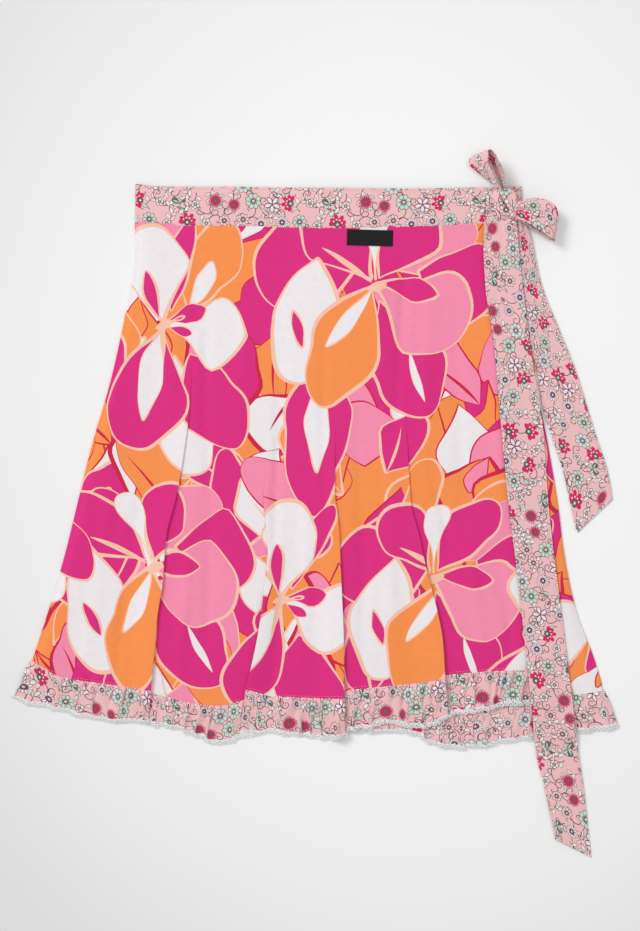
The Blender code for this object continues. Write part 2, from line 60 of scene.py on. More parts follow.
overWrap = {
    "cloth": 0.45, "spacing": 6.0, "sideRadius": 2.0,
    "loft": 2.4, "loftPeak": 9.0, "loftReach": 48.0, "air": 1.3,
    # lapped folds: the line, where it starts, cloth taken under it, height, width of its ridge
    "folds": {
        "left": {"drop": [0, 100, 138, 185, 222, 268, 312, 357, 390, 427, 453, 520],
                 "x": [-119, -124, -125, -127, -131.6, -139.2, -150, -153.3, -158.5, -161.5, -164.1, -170],
                 "start": 108, "overlap": 9, "rise": 2.6, "width": 26, "topSide": -1, "outward": -1},
        "leftMiddle": {"drop": [0, 230, 274, 300, 325, 363, 402, 440, 463, 520],
                       "x": [-42, -49.5, -55, -52.4, -50.6, -54.5, -59.5, -67.2, -72.9, -80],
                       "start": 222, "overlap": 14, "rise": 3.0, "width": 30, "topSide": 1, "outward": -1},
        "rightMiddle": {"drop": [0, 214, 265, 299, 338, 376, 413, 470, 520],
                        "x": [16, 18.2, 18.4, 22.4, 24.2, 25.9, 27.4, 28, 29],
                        "start": 188, "overlap": 12, "rise": 3.2, "width": 32, "topSide": -1, "outward": 1},
        "right": {"drop": [0, 120, 208, 278, 307, 335, 350, 386, 414, 453, 520],
                  "x": [86, 82, 90, 94.5, 102, 108, 111.6, 120.9, 126, 128.5, 133],
                  "start": 176, "overlap": 12, "rise": 3.6, "width": 34, "topSide": -1, "outward": 1},
    },
    # soft ridges and troughs: from, to, width, height
    "creases": [
        (-111, 90, -114, 215, 8, -2.6), (-141, 60, -147, 200, 14, 1.7), (-119, 26, -122, 112, 6, -1.3),
        (-170, 40, -196, 190, 11, -1.3), (-176, 260, -190, 420, 12, -1.7), (-205, 250, -232, 440, 13, 1.5),
        (-188, 350, -204, 462, 8, -1.8), (-128, 280, -136, 462, 10, 2.0), (-106, 190, -112, 430, 9, -2.3),
        (-70, 60, -78, 250, 15, 1.3), (-40, 150, -41, 345, 8, -2.5), (-33, 340, -46, 462, 7, -1.5),
        (-24, 50, -20, 240, 16, 1.2), (-10, 250, -14, 440, 12, 1.9), (5, 110, 8, 330, 7, -1.4),
        (40, 205, 47, 455, 9, -2.4), (66, 200, 78, 440, 13, 2.0), (85, 30, 80, 190, 7, -2.4),
        (64, 30, 62, 170, 12, 1.5), (112, 60, 110, 230, 14, 1.6), (114, 226, 133, 340, 8, -2.1),
        (138, 90, 146, 300, 11, -1.5), (150, 300, 168, 440, 12, 1.9), (172, 60, 184, 330, 12, 1.3),
        (178, 330, 196, 436, 8, -1.8), (70, 43, 96, 47, 3, -0.9), (68, 60, 93, 65, 3, -0.8),
    ],
}

# hem seam and the outer edge of the lace, by where they are seen
hems = {
    "over": {
        "x": [-300, -285, -256, -219, -163, -128, -100, -77, -71, -46, 0, 25, 31, 79, 105, 129, 164, 196,
              236],
        "seam": [430, 434, 450.5, 457, 467.5, 477, 480, 475, 463.5, 470, 472.3, 471.8, 464, 459, 456, 451.5,
                 445.5, 444, 443],
        "edge": [464, 475, 486, 495, 500, 508.5, 519, 513, 509.5, 508, 513, 512.5, 505.5, 498.5, 502.8,
                 493.5, 485.5, 479, 480],
    },
    "under": {
        "x": [20, 90, 121, 156, 193, 216, 257, 286, 302],
        "seam": [468, 473, 479, 480, 475.5, 472.5, 468.5, 464.5, 461],
        "edge": [507.5, 507.5, 521.5, 523.5, 516, 513, 507, 502, 499.5],
    },
    "back": {
        "x": [-300, -284, -215, -100, 40, 160, 286, 302],
        "seam": [428, 434, 452, 461, 462, 466, 460, 458],
        "edge": [458, 467, 486, 497, 499, 503, 495, 493],
    },
}

ruffles = {
    "cloth": 0.45, "fullness": 1.25, "lace": 4.0, "tuck": 2.5, "fanReach": 30.0,
    "over": {"height": 4.6, "sink": 0.8, "pitch": 17.5},
    "under": {"height": 2.2, "sink": 0.3, "pitch": 18.5},
    "back": {"height": 0.5, "sink": 0.0, "pitch": 24.0},
}

ties = {
    "cloth": 0.8, "clearance": 0.5, "stitchInset": 2.2,
    "long": {
        "drop": [-29, -20, -6, 20, 60, 120, 200, 280, 325, 390, 475, 530, 560, 602, 622],
        "left": [178, 171, 166.5, 165.4, 167.3, 176, 183, 190.5, 196.3, 203.8, 212.8, 218.9, 226.5, 234.2,
                 237.5],
        "right": [197, 197.5, 198, 200, 204.5, 211.7, 224.7, 230.5, 235.5, 243.9, 254.1, 261, 265.6, 271,
                  273.6],
        "slant": 18.0,
    },
    "short": {
        "drop": [-17, 10, 58, 109, 146, 182, 214, 243, 290],
        "left": [188, 187, 194, 209, 219.5, 225.5, 235, 245.3, 259.5],
        "right": [200, 211.8, 223.7, 243.5, 258, 269.4, 279.6, 288.9, 294.5],
        "slant": -33.0,
    },
}

# the bow's loops: both edges of the ribbon at each section from the knot round and back
bow = {
    "cloth": 0.7,
    "right": {
        "near": [(196, 284, 10.6), (212, 274.5, 7.5), (225, 266.5, 6.8), (232, 261.8, 8),
                 (235.4, 260.6, 11.6),
                 (234.4, 261.6, 15.4), (225, 268, 17.4), (213, 276, 17.0), (197, 284, 12.6)],
        "far": [(196, 300, 10.6), (214, 300.5, 8), (227, 299.6, 7.6), (236.4, 294, 9), (239.4, 286, 12.4),
                (237, 293.8, 16.4), (227, 301.4, 18), (214, 303, 17.4), (197, 300, 13)],
        "crease": 1.6,
    },
    "upper": {
        "near": [(184.5, 307.6, 10.4), (172.5, 319.5, 6.4), (160, 329.5, 5.6), (151.4, 337.5, 5.4),
                 (152.2, 343, 5.2),
                 (159.5, 347.2, 5.6), (167.5, 346.5, 6.6), (173, 338.5, 6.8), (179, 325.5, 7),
                 (185.5, 307.9, 10.4)],
        "far": [(184.9, 307.6, 13.6), (176.6, 321.5, 20), (171.6, 333.5, 23.4), (168.8, 343.6, 24.4),
                (168.6, 348.6, 24.4),
                (171.2, 350, 24), (176, 345.5, 23.2), (181, 336, 21.6), (186, 324.5, 18.6),
                (189.2, 308.6, 13)],
        "crease": 1.1,
    },
    "knot": {"centre": (185.6, 297.4, 10.9), "half": (13.6, 16.0, 4.6), "crease": 0.45, "turn": 0.1,
             "slit": (-3.6, -10.5, 2.8, 6.0, 1.05, 7.0)},
}

label = {"centre": (52.3, 264.6), "size": (46.0, 16.0), "turn": -0.026, "cloth": 0.6}

# dyes as they are seen in daylight, 0 to 255
dyes = {
    "magenta": (222, 42, 128), "orange": (250, 146, 78), "pink": (248, 142, 176), "white": (240, 234, 236),
    "peach": (250, 196, 172), "darkRed": (208, 32, 70),
    "rose": (241, 191, 193), "ink": (88, 75, 82), "mint": (200, 219, 206), "chalk": (238, 230, 228),
    "cerise": (214, 38, 100), "plum": (132, 62, 112), "sky": (212, 222, 220), "sage": (98, 120, 108),
    "blush": (246, 206, 204),
}

threads = {"stitchLength": 2.3, "stitchGap": 1.0, "radius": 0.17, "lacePitch": 5.0, "laceDepth": 4.2,
           "laceThread": 0.46}


def curveThrough(keys, values):     # smooth, without overshoot
    keys, values = np.array(keys, float), np.array(values, float)
    rise = np.diff(values) / np.diff(keys)
    slope = np.concatenate([rise[:1], np.zeros(len(keys) - 2), rise[-1:]])
    total = rise[:-1] + rise[1:]
    same = rise[:-1] * rise[1:] > 0
    slope[1:-1] = np.where(same, 2 * rise[:-1] * rise[1:] / np.where(same, total, 1), 0)

    def read(at):
        at = np.clip(np.asarray(at, float), keys[0], keys[-1])
        i = np.clip(np.searchsorted(keys, at, side="right") - 1, 0, len(keys) - 2)
        width = keys[i + 1] - keys[i]
        t = (at - keys[i]) / width
        return ((2 * t**3 - 3 * t**2 + 1) * values[i] + (t**3 - 2 * t**2 + t) * width * slope[i]
                + (3 * t**2 - 2 * t**3) * values[i + 1] + (t**3 - t**2) * width * slope[i + 1])
    return read


def ease(t):
    t = np.clip(t, 0.0, 1.0)
    return t * t * (3 - 2 * t)


def softRamp(a, radius=1.0):    # 0 below, a above, rounded at the corner
    return 0.5 * (a + np.sqrt(a * a + radius * radius))


foldOrder = ("rightMiddle", "right", "leftMiddle", "left")       # from the middle outwards
foldsFull = 470.0       # the drop at which a lapped fold has all its overlap
sideTake = 0.57         # cloth that a side fold takes up, as a share of its radius
underSideRadius = 1.6
bandMiddle = -20        # the drop at the middle of the waistband

leftEdge, freeEdge, rightEdge, underFree = (
    curveThrough(outline["drop"], outline[key]) for key in ("left", "free", "right", "underFree"))
bandTop = curveThrough(waistband["x"], waistband["top"])
bandSeam = curveThrough(waistband["x"], waistband["seam"])
for fold in overWrap["folds"].values():
    fold["line"] = curveThrough(fold["drop"], fold["x"])


# the shape of each layer

def foldSize(fold, drop):
    share = ease((drop - fold["start"]) / (foldsFull - fold["start"]))
    return np.maximum(fold["overlap"] * share**0.6, 0.01), share


def pastFold(fold, x, drop):        # distance past the fold's edge, along the cloth
    overlap, share = foldSize(fold, drop)
    line = fold["line"](drop)
    if fold["topSide"] == fold["outward"]:
        past = (x - line) * -fold["topSide"] + 2 * overlap
    else:
        past = (x - line) * fold["outward"]
    return past, overlap, share, line


def turnedUnder(fold, x, past, overlap):
    turned = -2 * softRamp(past) + 2 * softRamp(past - overlap)
    if fold["topSide"] == fold["outward"]:
        return x - fold["topSide"] * (2 * overlap + turned)
    return x + fold["outward"] * turned


def throughFolds(across, drop):
    # takes a place on the cloth through every fold: where it is seen, how far a fold lifts
    # it, and how still a gather must be there
    x = np.array(across, float)
    lift, calm = np.zeros_like(x), np.zeros_like(x)
    for name in foldOrder:
        fold = overWrap["folds"][name]
        past, overlap, share, line = pastFold(fold, x, drop)
        x = turnedUnder(fold, x, past, overlap)
        inward = (x - line) * fold["topSide"]
        ridge = (1.5 * ease(overlap / 4) + fold["rise"] * share) * (1 - ease(inward / fold["width"]))
        layer = 1 - 0.4 * ease((past + 1.2) / 2.4) - 0.6 * ease(past / np.maximum(overlap, 1.0))
        lift = lift + ridge * layer
        window = ease((past + 9) / 6) * ease((2 * overlap + 8 - past) / 6) * ease(overlap / 3)
        calm = np.maximum(calm, window)
    return x, lift, calm


def seenToCloth(x, drop):       # the other way, for what shows
    across = np.array(x, float)
    for fold in overWrap["folds"].values():
        overlap = foldSize(fold, drop)[0]
        beyond = (x - fold["line"](drop)) * fold["outward"] > 0
        across = across + np.where(beyond, 2 * overlap * fold["outward"], 0)
    return across


def aroundSide(distance, radius):       # the distance runs along the cloth, from 0 at the fold's edge
    turn = np.clip(distance / radius, -math.pi / 2, math.pi / 2)
    inward = radius * (1 - np.cos(turn)) + np.maximum(np.abs(distance) - radius * math.pi / 2, 0)
    return inward, 0.5 + 0.5 * np.sin(turn)


def climb(pastEdge):    # the over-wrap climbs onto the under-wrap's free edge
    return ease((pastEdge + 30) / 18)


def loft(distance):
    peak, reach = overWrap["loftPeak"], overWrap["loftReach"]
    rising = ease((distance - 1.7) / (peak - 1.7))
    return overWrap["loft"] * rising * (1 - ease((distance - peak) / (reach - peak)))


def creased(rows, x, drop):
    height = np.zeros_like(x)
    for x0, drop0, x1, drop1, width, depth in rows:
        dx, dy = x1 - x0, drop1 - drop0
        length = math.hypot(dx, dy)
        along = ((x - x0) * dx + (drop - drop0) * dy) / length**2
        side = ((x - x0) * dy - (drop - drop0) * dx) / length
        side = side + 0.18 * width * np.sin(along * 5 + x0)       # a little wander
        uneven = (ease((along + 0.12) / 0.35) * ease((1.18 - along) / 0.5)
                  * (0.8 + 0.2 * np.sin(along * 9 + x1)))
        height += depth * uneven * np.exp(-(side / (0.6 * width))**2)
    return height


def overSurface(across, drop):
    x, lift, calm = throughFolds(across, drop)
    onUnder = climb(x - underFree(drop))
    atBand = waistband["step"] * (1 + onUnder) + 0.2
    level = atBand + (1.3 + 1.4 * onUnder - atBand) * ease(drop / 45) + 1.0
    level = level + (overWrap["air"] * ease(drop / 60) * (1 - ease((drop - 425) / 50))
                     * ease((freeEdge(drop) - x) / 30))
    left = leftEdge(drop)
    radius = overWrap["sideRadius"]
    inward, bulge = aroundSide(x - left + sideTake * radius, radius)
    top = level + loft(x - left) + lift + ease(drop / 30) * creased(overWrap["creases"], x, drop)
    top = top + 0.12 * np.sin(x / 17 + drop / 41) * np.sin(drop / 23 - x / 60)
    top = softRamp(top - 1.4 - 1.7 * onUnder, 0.5) + 1.4 + 1.7 * onUnder       # never through what lies below
    return np.stack([left + inward, waistY - drop, 0.3 + (top - 0.3) * bulge], axis=-1)


underCreases = [(205, 40, 226, 300, 9, 0.6), (236, 280, 262, 450, 10, 0.9), (252, 330, 276, 455, 7, -0.7)]


def underSurface(across, drop):
    right = rightEdge(drop)
    atBand = waistband["step"] + 0.2
    level = atBand + (1.3 - atBand) * ease(drop / 45) + 1.0
    radius = underSideRadius
    inward, bulge = aroundSide(right - across + sideTake * radius, radius)
    clear = ease((across - freeEdge(drop) - 4) / 10)
    top = level + clear * (0.5 * loft(right - across) + creased(underCreases, across, drop))
    return np.stack([right - inward, waistY - drop, 0.3 + (top - 0.3) * bulge], axis=-1)


def backSurface(across, drop):
    inset = 3.2
    x = np.clip(across, leftEdge(drop) + inset, rightEdge(drop) - inset)
    return np.stack([x, waistY - drop, np.full_like(x, 0.62)], axis=-1)


def hemOf(name):
    hem = hems[name]
    across = np.array(hem["x"], float)
    if name == "over":
        across = seenToCloth(across, 462.0)
    return curveThrough(across, hem["seam"]), curveThrough(across, hem["edge"])


# printed shapes, as closed outlines on the flat cloth (across, drop)

def petal(x, y, angle, length, width, belly=0.55, bend=0.0, tip=0.5, wave=0.08):
    # tip is 0.4 for a blunt end and 0.9 for a pointed one
    t = 0.5 - 0.5 * np.cos(np.linspace(0, math.pi, max(5 if length < 14 else 9, round(length / 3.4))))
    full = np.sin(math.pi * t ** (math.log(0.5) / math.log(belly))) ** (0.9 + (tip - 0.9) * t)
    sides = [0.5 * width * full * (1 + wave * np.arcsin(np.sin(7 * t + 1.7 * angle + k))
                                   + 0.6 * wave * np.sin(13 * t + angle * k)) for k in (0, 2)]
    middle = bend * length * (t * t - 0.3 * t)
    along = np.concatenate([length * t, length * t[-2:0:-1]])
    side = np.concatenate([middle + sides[0], (middle - sides[1])[-2:0:-1]])
    turn = math.radians(angle)
    return np.stack([x + along * math.cos(turn) - side * math.sin(turn),
                     y - along * math.sin(turn) - side * math.cos(turn)], axis=-1)


def widened(shape, by, vary=0.0):
    ahead, behind = np.roll(shape, -1, 0), np.roll(shape, 1, 0)
    turning = np.sum(shape[:, 0] * ahead[:, 1] - ahead[:, 0] * shape[:, 1])
    along = ahead - behind
    along = along / np.maximum(np.linalg.norm(along, axis=1, keepdims=True), 1e-6)
    outward = np.stack([along[:, 1], -along[:, 0]], axis=-1) * (1 if turning > 0 else -1)
    brush = 1 + vary * np.sin(np.linspace(0, 4 * math.pi, len(shape), endpoint=False) + shape[0, 0])
    return shape + outward * by * brush[:, None]


# petals of the two big flowers: dye, edge, start x and y, angle, length, width, belly, bend, tip
bigFlowers = {
    "white": [
        ("white", 2.4, 10, 34, 277, 118, 66, 0.62, 0.05, 0.45),
        ("magenta", 2.4, 26, 32, 293, 104, 64, 0.5, 0.1, 0.6),
        ("magenta", 3.0, 0, 6, 254, 124, 74, 0.62, -0.06, 0.42),
        ("white", 1.4, -1, 10, 250, 90, 23, 0.5, 0.1, 0.8),
        ("magenta", 2.4, 8, -12, 84, 92, 25, 0.55, -0.16, 0.5),
        ("white", 3.6, -1, -4, 101, 92, 62, 0.6, -0.06, 0.45),
        ("magenta", 2.4, -4, -5, 110, 48, 12, 0.6, -0.1, 0.8),
        ("white", 3.2, 4, 2, 352, 78, 66, 0.66, 0.0, 0.92),
        ("magenta", 1.4, 4, -2, 14, 40, 19, 0.66, 0.1, 0.75),
        ("magenta", 1.0, 7, 5, 344, 22, 9, 0.6, 0.0, 0.6),
        ("peach", 0.0, -8, 6, 24, 19, 9, 0.5, 0.0, 0.6), ("peach", 0.0, 3, -1, 12, 20, 5, 0.75, 0.1, 0.5),
        ("magenta", 0.0, 12, -3, 14, 8, 1.8, 0.6, 0.1, 0.5),
        ("peach", 0.0, 0, 4, 268, 36, 5.5, 0.3, 0.0, 0.9),
    ],
    "orange": [
        ("pink", 1.6, 14, -16, 28, 96, 58, 0.6, 0.0, 0.45),
        ("magenta", 3.0, -20, -18, 182, 100, 92, 0.58, -0.05, 0.45),
        ("magenta", 3.6, -6, -8, 128, 92, 58, 0.6, 0.1, 0.5),
        ("magenta", 3.2, 4, -8, 56, 84, 52, 0.6, -0.1, 0.5),
        ("white", 1.2, 0, -6, 93, 70, 27, 0.82, 0.0, 0.4),
        ("magenta", 3.0, -55, 84, 266, 146, 68, 0.42, 0.03, 0.62),
        ("white", 1.6, -57, 102, 268, 84, 23, 0.42, 0.02, 0.85),
        ("white", 3.6, -58, -26, 258, 124, 64, 0.52, 0.04, 0.42),
        ("magenta", 2.2, -82, 26, 284, 36, 10, 0.5, 0.0, 0.8),
        ("magenta", 2.6, 44, -14, 338, 78, 88, 0.55, 0.0, 0.6),
        ("magenta", 2.8, 4, 16, 291, 124, 72, 0.6, 0.06, 0.6),
        ("white", 0.6, 34, 66, 282, 52, 7, 0.5, 0.12, 0.9),
        ("pink", 2.8, 2, 3, 334, 96, 84, 0.64, 0.04, 0.42),
        ("magenta", 2.6, 6, -2, 352, 56, 22, 0.6, -0.08, 0.75),
        ("orange", 3.4, -4, 2, 243, 128, 66, 0.54, 0.08, 0.55),
        ("white", 1.6, -5, 6, 234, 70, 14, 0.55, -0.08, 0.8),
        ("peach", 0.0, -9, 4, 16, 21, 10, 0.5, 0.0, 0.6),
        ("peach", 0.0, -3, -2, 140, 62, 6, 0.5, 0.12, 0.7),
    ],
}

# where they are on the over-wrap's cloth: kind, across, drop, size, turn
overFlowers = [
    ("white", -154, 97, 1.0, 0), ("orange", 58, 60, 1.0, 0), ("orange", -196, 340, 0.98, 8),
    ("white", -36, 372, 1.0, -14), ("orange", 152, 352, 0.96, 6), ("white", 250, 130, 0.95, 20),
    ("white", 262, 410, 0.9, -10), ("white", -330, 240, 0.9, 0),
]
underFlowers = [("orange", 215, 150, 1.0, 10), ("white", 190, 390, 1.0, -8), ("orange", 60, 330, 0.95, 0)]
backFlowers = [
    ("white", 120, 90, 1.0, 0), ("orange", -90, 70, 1.0, 0), ("orange", 190, 340, 1.0, 8),
    ("white", 10, 370, 1.0, -10), ("orange", -180, 350, 1.0, 4), ("white", -150, 120, 0.5, 30),
]


def leafGround(box, seed):
    # overlapping blunt leaves in rows, each with a drawn edge
    rng = np.random.default_rng(seed)
    x0, y0, x1, y1 = box
    kinds = ["orange", "magenta", "pink", "orange", "white", "magenta", "orange", "pink"]
    painted, count = [], 0
    for row, y in enumerate(np.arange(y0 - 40, y1 + 90, 40)):
        for x in np.arange(x0 - 40, x1 + 60, 42):
            jitter = rng.uniform(-1, 1, 6)
            angle = 90 + 52 * jitter[0] + (180 if jitter[1] > 0 else 0)
            length, width = 86 + 28 * jitter[2], 50 + 15 * jitter[3]
            px, py = x + 17 * jitter[4], y + 19 * jitter[5]
            leaf = petal(px, py, angle, length, width, 0.56 + 0.1 * jitter[1], 0.24 * jitter[3], 0.42, 0.1)
            kind = rng.random()
            line = "darkRed" if kind < 0.62 else "peach"
            thick, vary = (1.2, 0.5) if kind < 0.4 else (3.0, 0.6) if kind < 0.62 else (2.2, 0.4)
            painted += [(line, widened(leaf, thick, vary)), (kinds[(3 * count + row) % len(kinds)], leaf)]
            if rng.random() < 0.35:     # a vein or a small inner leaf
                painted.append((line, petal(px, py, angle + 5, length * 0.72, 3.2, 0.4, 0.2, 0.9, 0)))
            elif rng.random() < 0.5:
                inner = petal(px, py, angle - 8, length * 0.55, width * 0.34, 0.62, 0.2, 0.7, 0.1)
                painted += [(line, widened(inner, 1.2)), (kinds[(count + 3) % len(kinds)], inner)]
            count += 1
    return painted


def bigPrint(flowers, box, seed):
    painted = leafGround(box, seed) if seed else []
    for kind, x, y, size, turn in flowers:
        cosine, sine = math.cos(math.radians(turn)) * size, math.sin(math.radians(turn)) * size
        for dye, edge, dx, dy, angle, length, width, belly, bend, tip in bigFlowers[kind]:
            px, py = x + dx * cosine + dy * sine, y - dx * sine + dy * cosine
            shape = petal(px, py, angle + turn, length * size, width * size, belly, bend, tip)
            if edge:
                painted.append(("peach", widened(shape, 0.8 * edge * size, 0.45)))
            painted.append((dye, shape))
    return painted


def ring(x, y, radius, lobes=0, depth=0.0, steps=16, turn=0.0):
    angle = np.linspace(0, 2 * math.pi, steps, endpoint=False)
    reach = radius * (1 - depth * (1 - np.abs(np.cos(0.5 * lobes * (angle - turn)))**0.7))
    return np.stack([x + reach * np.cos(angle), y - reach * np.sin(angle)], axis=-1)


def strand(x, y, angle, length, curl, width=0.78, steps=12):     # a thin line that curls in at its end
    t = np.linspace(0, 1, steps)
    heading = math.radians(angle) + curl * t**1.8
    step = length / (steps - 1) * (t > 0) * (1.3 - 0.6 * t)
    line = np.stack([x + np.cumsum(np.cos(heading) * step), y - np.cumsum(np.sin(heading) * step)], axis=-1)
    side = np.stack([np.sin(heading), np.cos(heading)], axis=-1) * width / 2
    return np.concatenate([line + side, (line - side)[::-1]]), line, heading


def rays(x, y, inner, outer, count, turn, width=0.5):
    parts = []
    for angle in turn + 2 * math.pi * (np.arange(count) + 0.5) / count:
        start = (x + inner * math.cos(angle), y - inner * math.sin(angle))
        parts.append(("ink", strand(*start, math.degrees(angle), outer - inner, 0, width, 2)[0]))
    return parts


def daisy(x, y, radius, petals, colour, turn, depth=0.3):       # outlined petals, dark rays round the middle
    parts = [("ink", ring(x, y, radius, petals, depth, petals * 6, turn)),
             (colour, ring(x, y, radius - 0.6, petals, depth * 1.15, petals * 6, turn))]
    parts += rays(x, y, radius * 0.24, radius * 0.8, petals, turn, 0.6)
    parts += rays(x, y, radius * 0.24, radius * 0.54, petals, turn + math.pi / petals, 0.8)
    return parts + [("ink", ring(x, y, radius * 0.27, steps=9)),
                    ("blush", ring(x, y, radius * 0.17, steps=7))]


def fringed(x, y, radius, petals, colour, middle, turn):        # pale spikes round a coloured disc
    parts = [("ink", ring(x, y, radius, petals, 0.3, petals * 4, turn)),
             ("chalk", ring(x, y, radius - 0.5, petals, 0.34, petals * 4, turn))]
    if colour == "cerise":
        parts.append((colour, ring(x, y, radius * 0.88, petals, 0.36, petals * 4, turn)))
        parts += rays(x, y, radius * 0.3, radius * 0.72, petals, turn, 0.6)
    else:
        parts += rays(x, y, radius * 0.4, radius * 0.9, petals, turn, 0.5)
        parts.append((colour, ring(x, y, radius * 0.46, petals, 0.2, petals * 3, turn)))
    return parts + [("ink", ring(x, y, radius * 0.26, steps=9)), (middle, ring(x, y, radius * 0.17, steps=7))]


def star(x, y, radius, turn):
    shapes = [petal(x, y, math.degrees(turn) + 72 * k, radius, radius * 0.52, 0.66, 0, 0.75, 0)
              for k in range(5)]
    parts = [("plum", widened(shape, 0.9)) for shape in shapes] + [("chalk", shape) for shape in shapes]
    return parts + rays(x, y, 0.8, radius * 0.4, 5, turn) + [("plum", ring(x, y, radius * 0.16, steps=8))]


def lotus(x, y, radius, turn):
    parts, up = [], math.degrees(turn) + 90
    for angle, size in ((-95, 0.95), (95, 0.95), (-62, 1.0), (62, 1.0), (-24, 1.12), (22, 1.12)):
        parts.append(("cerise", petal(x, y, up + angle, radius * size, radius * 0.54, 0.66, 0, 0.62, 0)))
    parts += [("ink", ring(x, y, radius * 0.38, 7, 0.2, 28, turn)),
              ("sage", ring(x, y, radius * 0.26, steps=8)),
              ("chalk", ring(x, y, radius * 0.12, steps=7))]
    for angle in np.radians([-60, -20, 20, 60]) + turn + math.pi / 2:
        dot = (x + radius * 0.5 * math.cos(angle), y - radius * 0.5 * math.sin(angle))
        parts.append(("chalk", ring(*dot, radius * 0.09, steps=6)))
    return parts


def butterfly(x, y, radius, turn):
    parts, up = [], math.degrees(turn) + 90
    for side in (-1, 1):
        for angle, size in ((34, 1.1), (-34, 0.8)):
            heading = up + side * (90 - angle)
            wing = petal(x, y, heading, radius * size, radius * 0.72 * size, 0.72, 0, 0.4, 0.08)
            parts += [("ink", widened(wing, 0.5)), ("sage" if angle > 0 else "sky", wing)]
            parts += [("mint", petal(x, y, heading + 10, radius * size * 0.8, 1.6, 0.6, 0, 0.7, 0)),
                      ("ink", petal(x, y, heading - 12, radius * size * 0.85, 0.9, 0.6, 0, 0.7, 0))]
    return parts


def sprig(x, y, angle, length, curl, leaves=6):
    stem, line, heading = strand(x, y, angle, length, curl, 0.72, leaves + 2)
    parts = [("ink", stem)]
    for k in range(1, leaves + 2):
        side = (50 if k % 2 else -50) if k <= leaves else 0
        leaf = petal(line[k][0], line[k][1], math.degrees(heading[k]) + side, 6.2, 3.4, 0.5, 0, 0.62, 0)
        parts += [("ink", widened(leaf, 0.42)), ("chalk" if k % 2 else "blush", leaf)]
    return parts


# kinds in the order in which they fill the small print's repeat, with a radius each
smallRepeat = 150.0
smallKinds = [("mint", 8.4), ("plum", 6.6), ("lotus", 9.4), ("small", 4.4), ("cerise", 7.4), ("blush", 6.4),
              ("plum", 5.8), ("star", 7.8), ("mint", 7.4), ("small", 5.0), ("butterfly", 7.4),
              ("cerise", 6.6),
              ("plum", 6.8), ("sky", 8.2), ("lotus", 8.8), ("small", 4.6), ("blush", 6.0), ("paisley", 6.0)]


def smallMotif(kind, x, y, radius, turn):
    drawn = {"lotus": lotus, "butterfly": butterfly, "star": star}
    if kind in drawn:
        return drawn[kind](x, y, radius, turn)
    if kind in ("plum", "cerise"):
        return fringed(x, y, radius, 14, kind, "blush" if kind == "plum" else "sage", turn)
    if kind == "paisley":
        angle = math.degrees(turn)
        drop = petal(x, y, angle, radius * 1.5, radius * 0.9, 0.66, 0.2, 0.7, 0)
        return [("ink", widened(drop, 0.7)), ("blush", drop),
                ("plum", petal(x, y, angle, radius, radius * 0.4, 0.7, 0.1, 0.6, 0))]
    return daisy(x, y, radius, 5 if kind == "small" else 8, "chalk" if kind == "small" else kind, turn)


def smallRepeatParts():
    rng = np.random.default_rng(11)
    spots = 8
    pitch = smallRepeat / spots
    parts, flowers = [], []
    for row in range(spots):
        for column in range(spots):
            x = (column + 0.5 * (row % 2)) * pitch + rng.uniform(-2.4, 2.4)
            y = row * pitch + rng.uniform(-2.4, 2.4)
            kind, radius = smallKinds[(column * 7 + row * 5) % len(smallKinds)]
            flowers += smallMotif(kind, x, y, radius, rng.uniform(-1.4, 1.4))
            # a sprig, a tendril from the flower, and a curl in the space beside it
            angle, hand = rng.uniform(0, 360), rng.choice([-1, 1])
            if (row + column) % 3 != 1:
                parts += sprig(x + pitch * 0.3, y + pitch * 0.2, angle, rng.uniform(15, 22), hand * 1.2,
                               int(rng.integers(3, 7)))
            tendril = strand(x, y, angle + 140, rng.uniform(24, 34), hand * rng.uniform(4.5, 7.5), steps=14)
            parts.append(("ink", tendril[0]))
            curl, line, _ = strand(x + pitch * 0.5, y + pitch * 0.45, angle + 60, rng.uniform(14, 22),
                                   -hand * rng.uniform(4, 7))
            parts.append(("ink", curl))
            leaf = petal(line[2][0], line[2][1], angle + 110, 6.0, 3.2, 0.5, 0, 0.7, 0)
            parts += [("ink", widened(leaf, 0.42)), ("mint" if column % 2 else "chalk", leaf)]
    return parts + flowers


def overlaps(shape, box):
    return (shape[:, 0].max() > box[0] and shape[:, 0].min() < box[2]
            and shape[:, 1].max() > box[1] and shape[:, 1].min() < box[3])


def smallPrint(box, shift=(0.0, 0.0), turn=0.0, fine=True):
    # the repeat laid over a box of cloth, turned and shifted for each cut piece; a hidden
    # piece has the larger shapes alone
    x0, y0, x1, y1 = box
    cosine, sine = math.cos(turn), math.sin(turn)
    corners = np.array([(x0, y0), (x1, y0), (x0, y1), (x1, y1)]) - shift
    turned = np.array([[cosine, sine], [-sine, cosine]])
    unturned = corners @ turned.T
    low, high = np.floor(unturned.min(0) / smallRepeat) - 1, np.ceil(unturned.max(0) / smallRepeat) + 1
    painted = []
    for column in range(int(low[0]), int(high[0])):
        for row in range(int(low[1]), int(high[1])):
            for colour, shape in smallTile:
                if not fine and (colour == "ink" or np.ptp(shape[:, 0]) < 5):
                    continue
                moved = (shape + (column * smallRepeat, row * smallRepeat)) @ turned + shift
                if overlaps(moved, box):
                    painted.append((colour, moved))
    return painted


smallTile = smallRepeatParts()


def linear(colour):
    value = np.array(colour, float) / 255
    return np.where(value <= 0.04045, value / 12.92, ((value + 0.055) / 1.055)**2.4)


def placed(name, data):
    made = bpy.data.objects.new(name, data)
    bpy.context.scene.collection.objects.link(made)
    return made


def addNode(tree, kind, links=(), **values):
    node = tree.nodes.new(kind)
    for key, value in values.items():
        setattr(node, key, value)
    for source, socket in links:
        if hasattr(source, "is_output"):
            tree.links.new(source, node.inputs[socket])
        else:
            node.inputs[socket].default_value = source
    return node


# cloth meshes

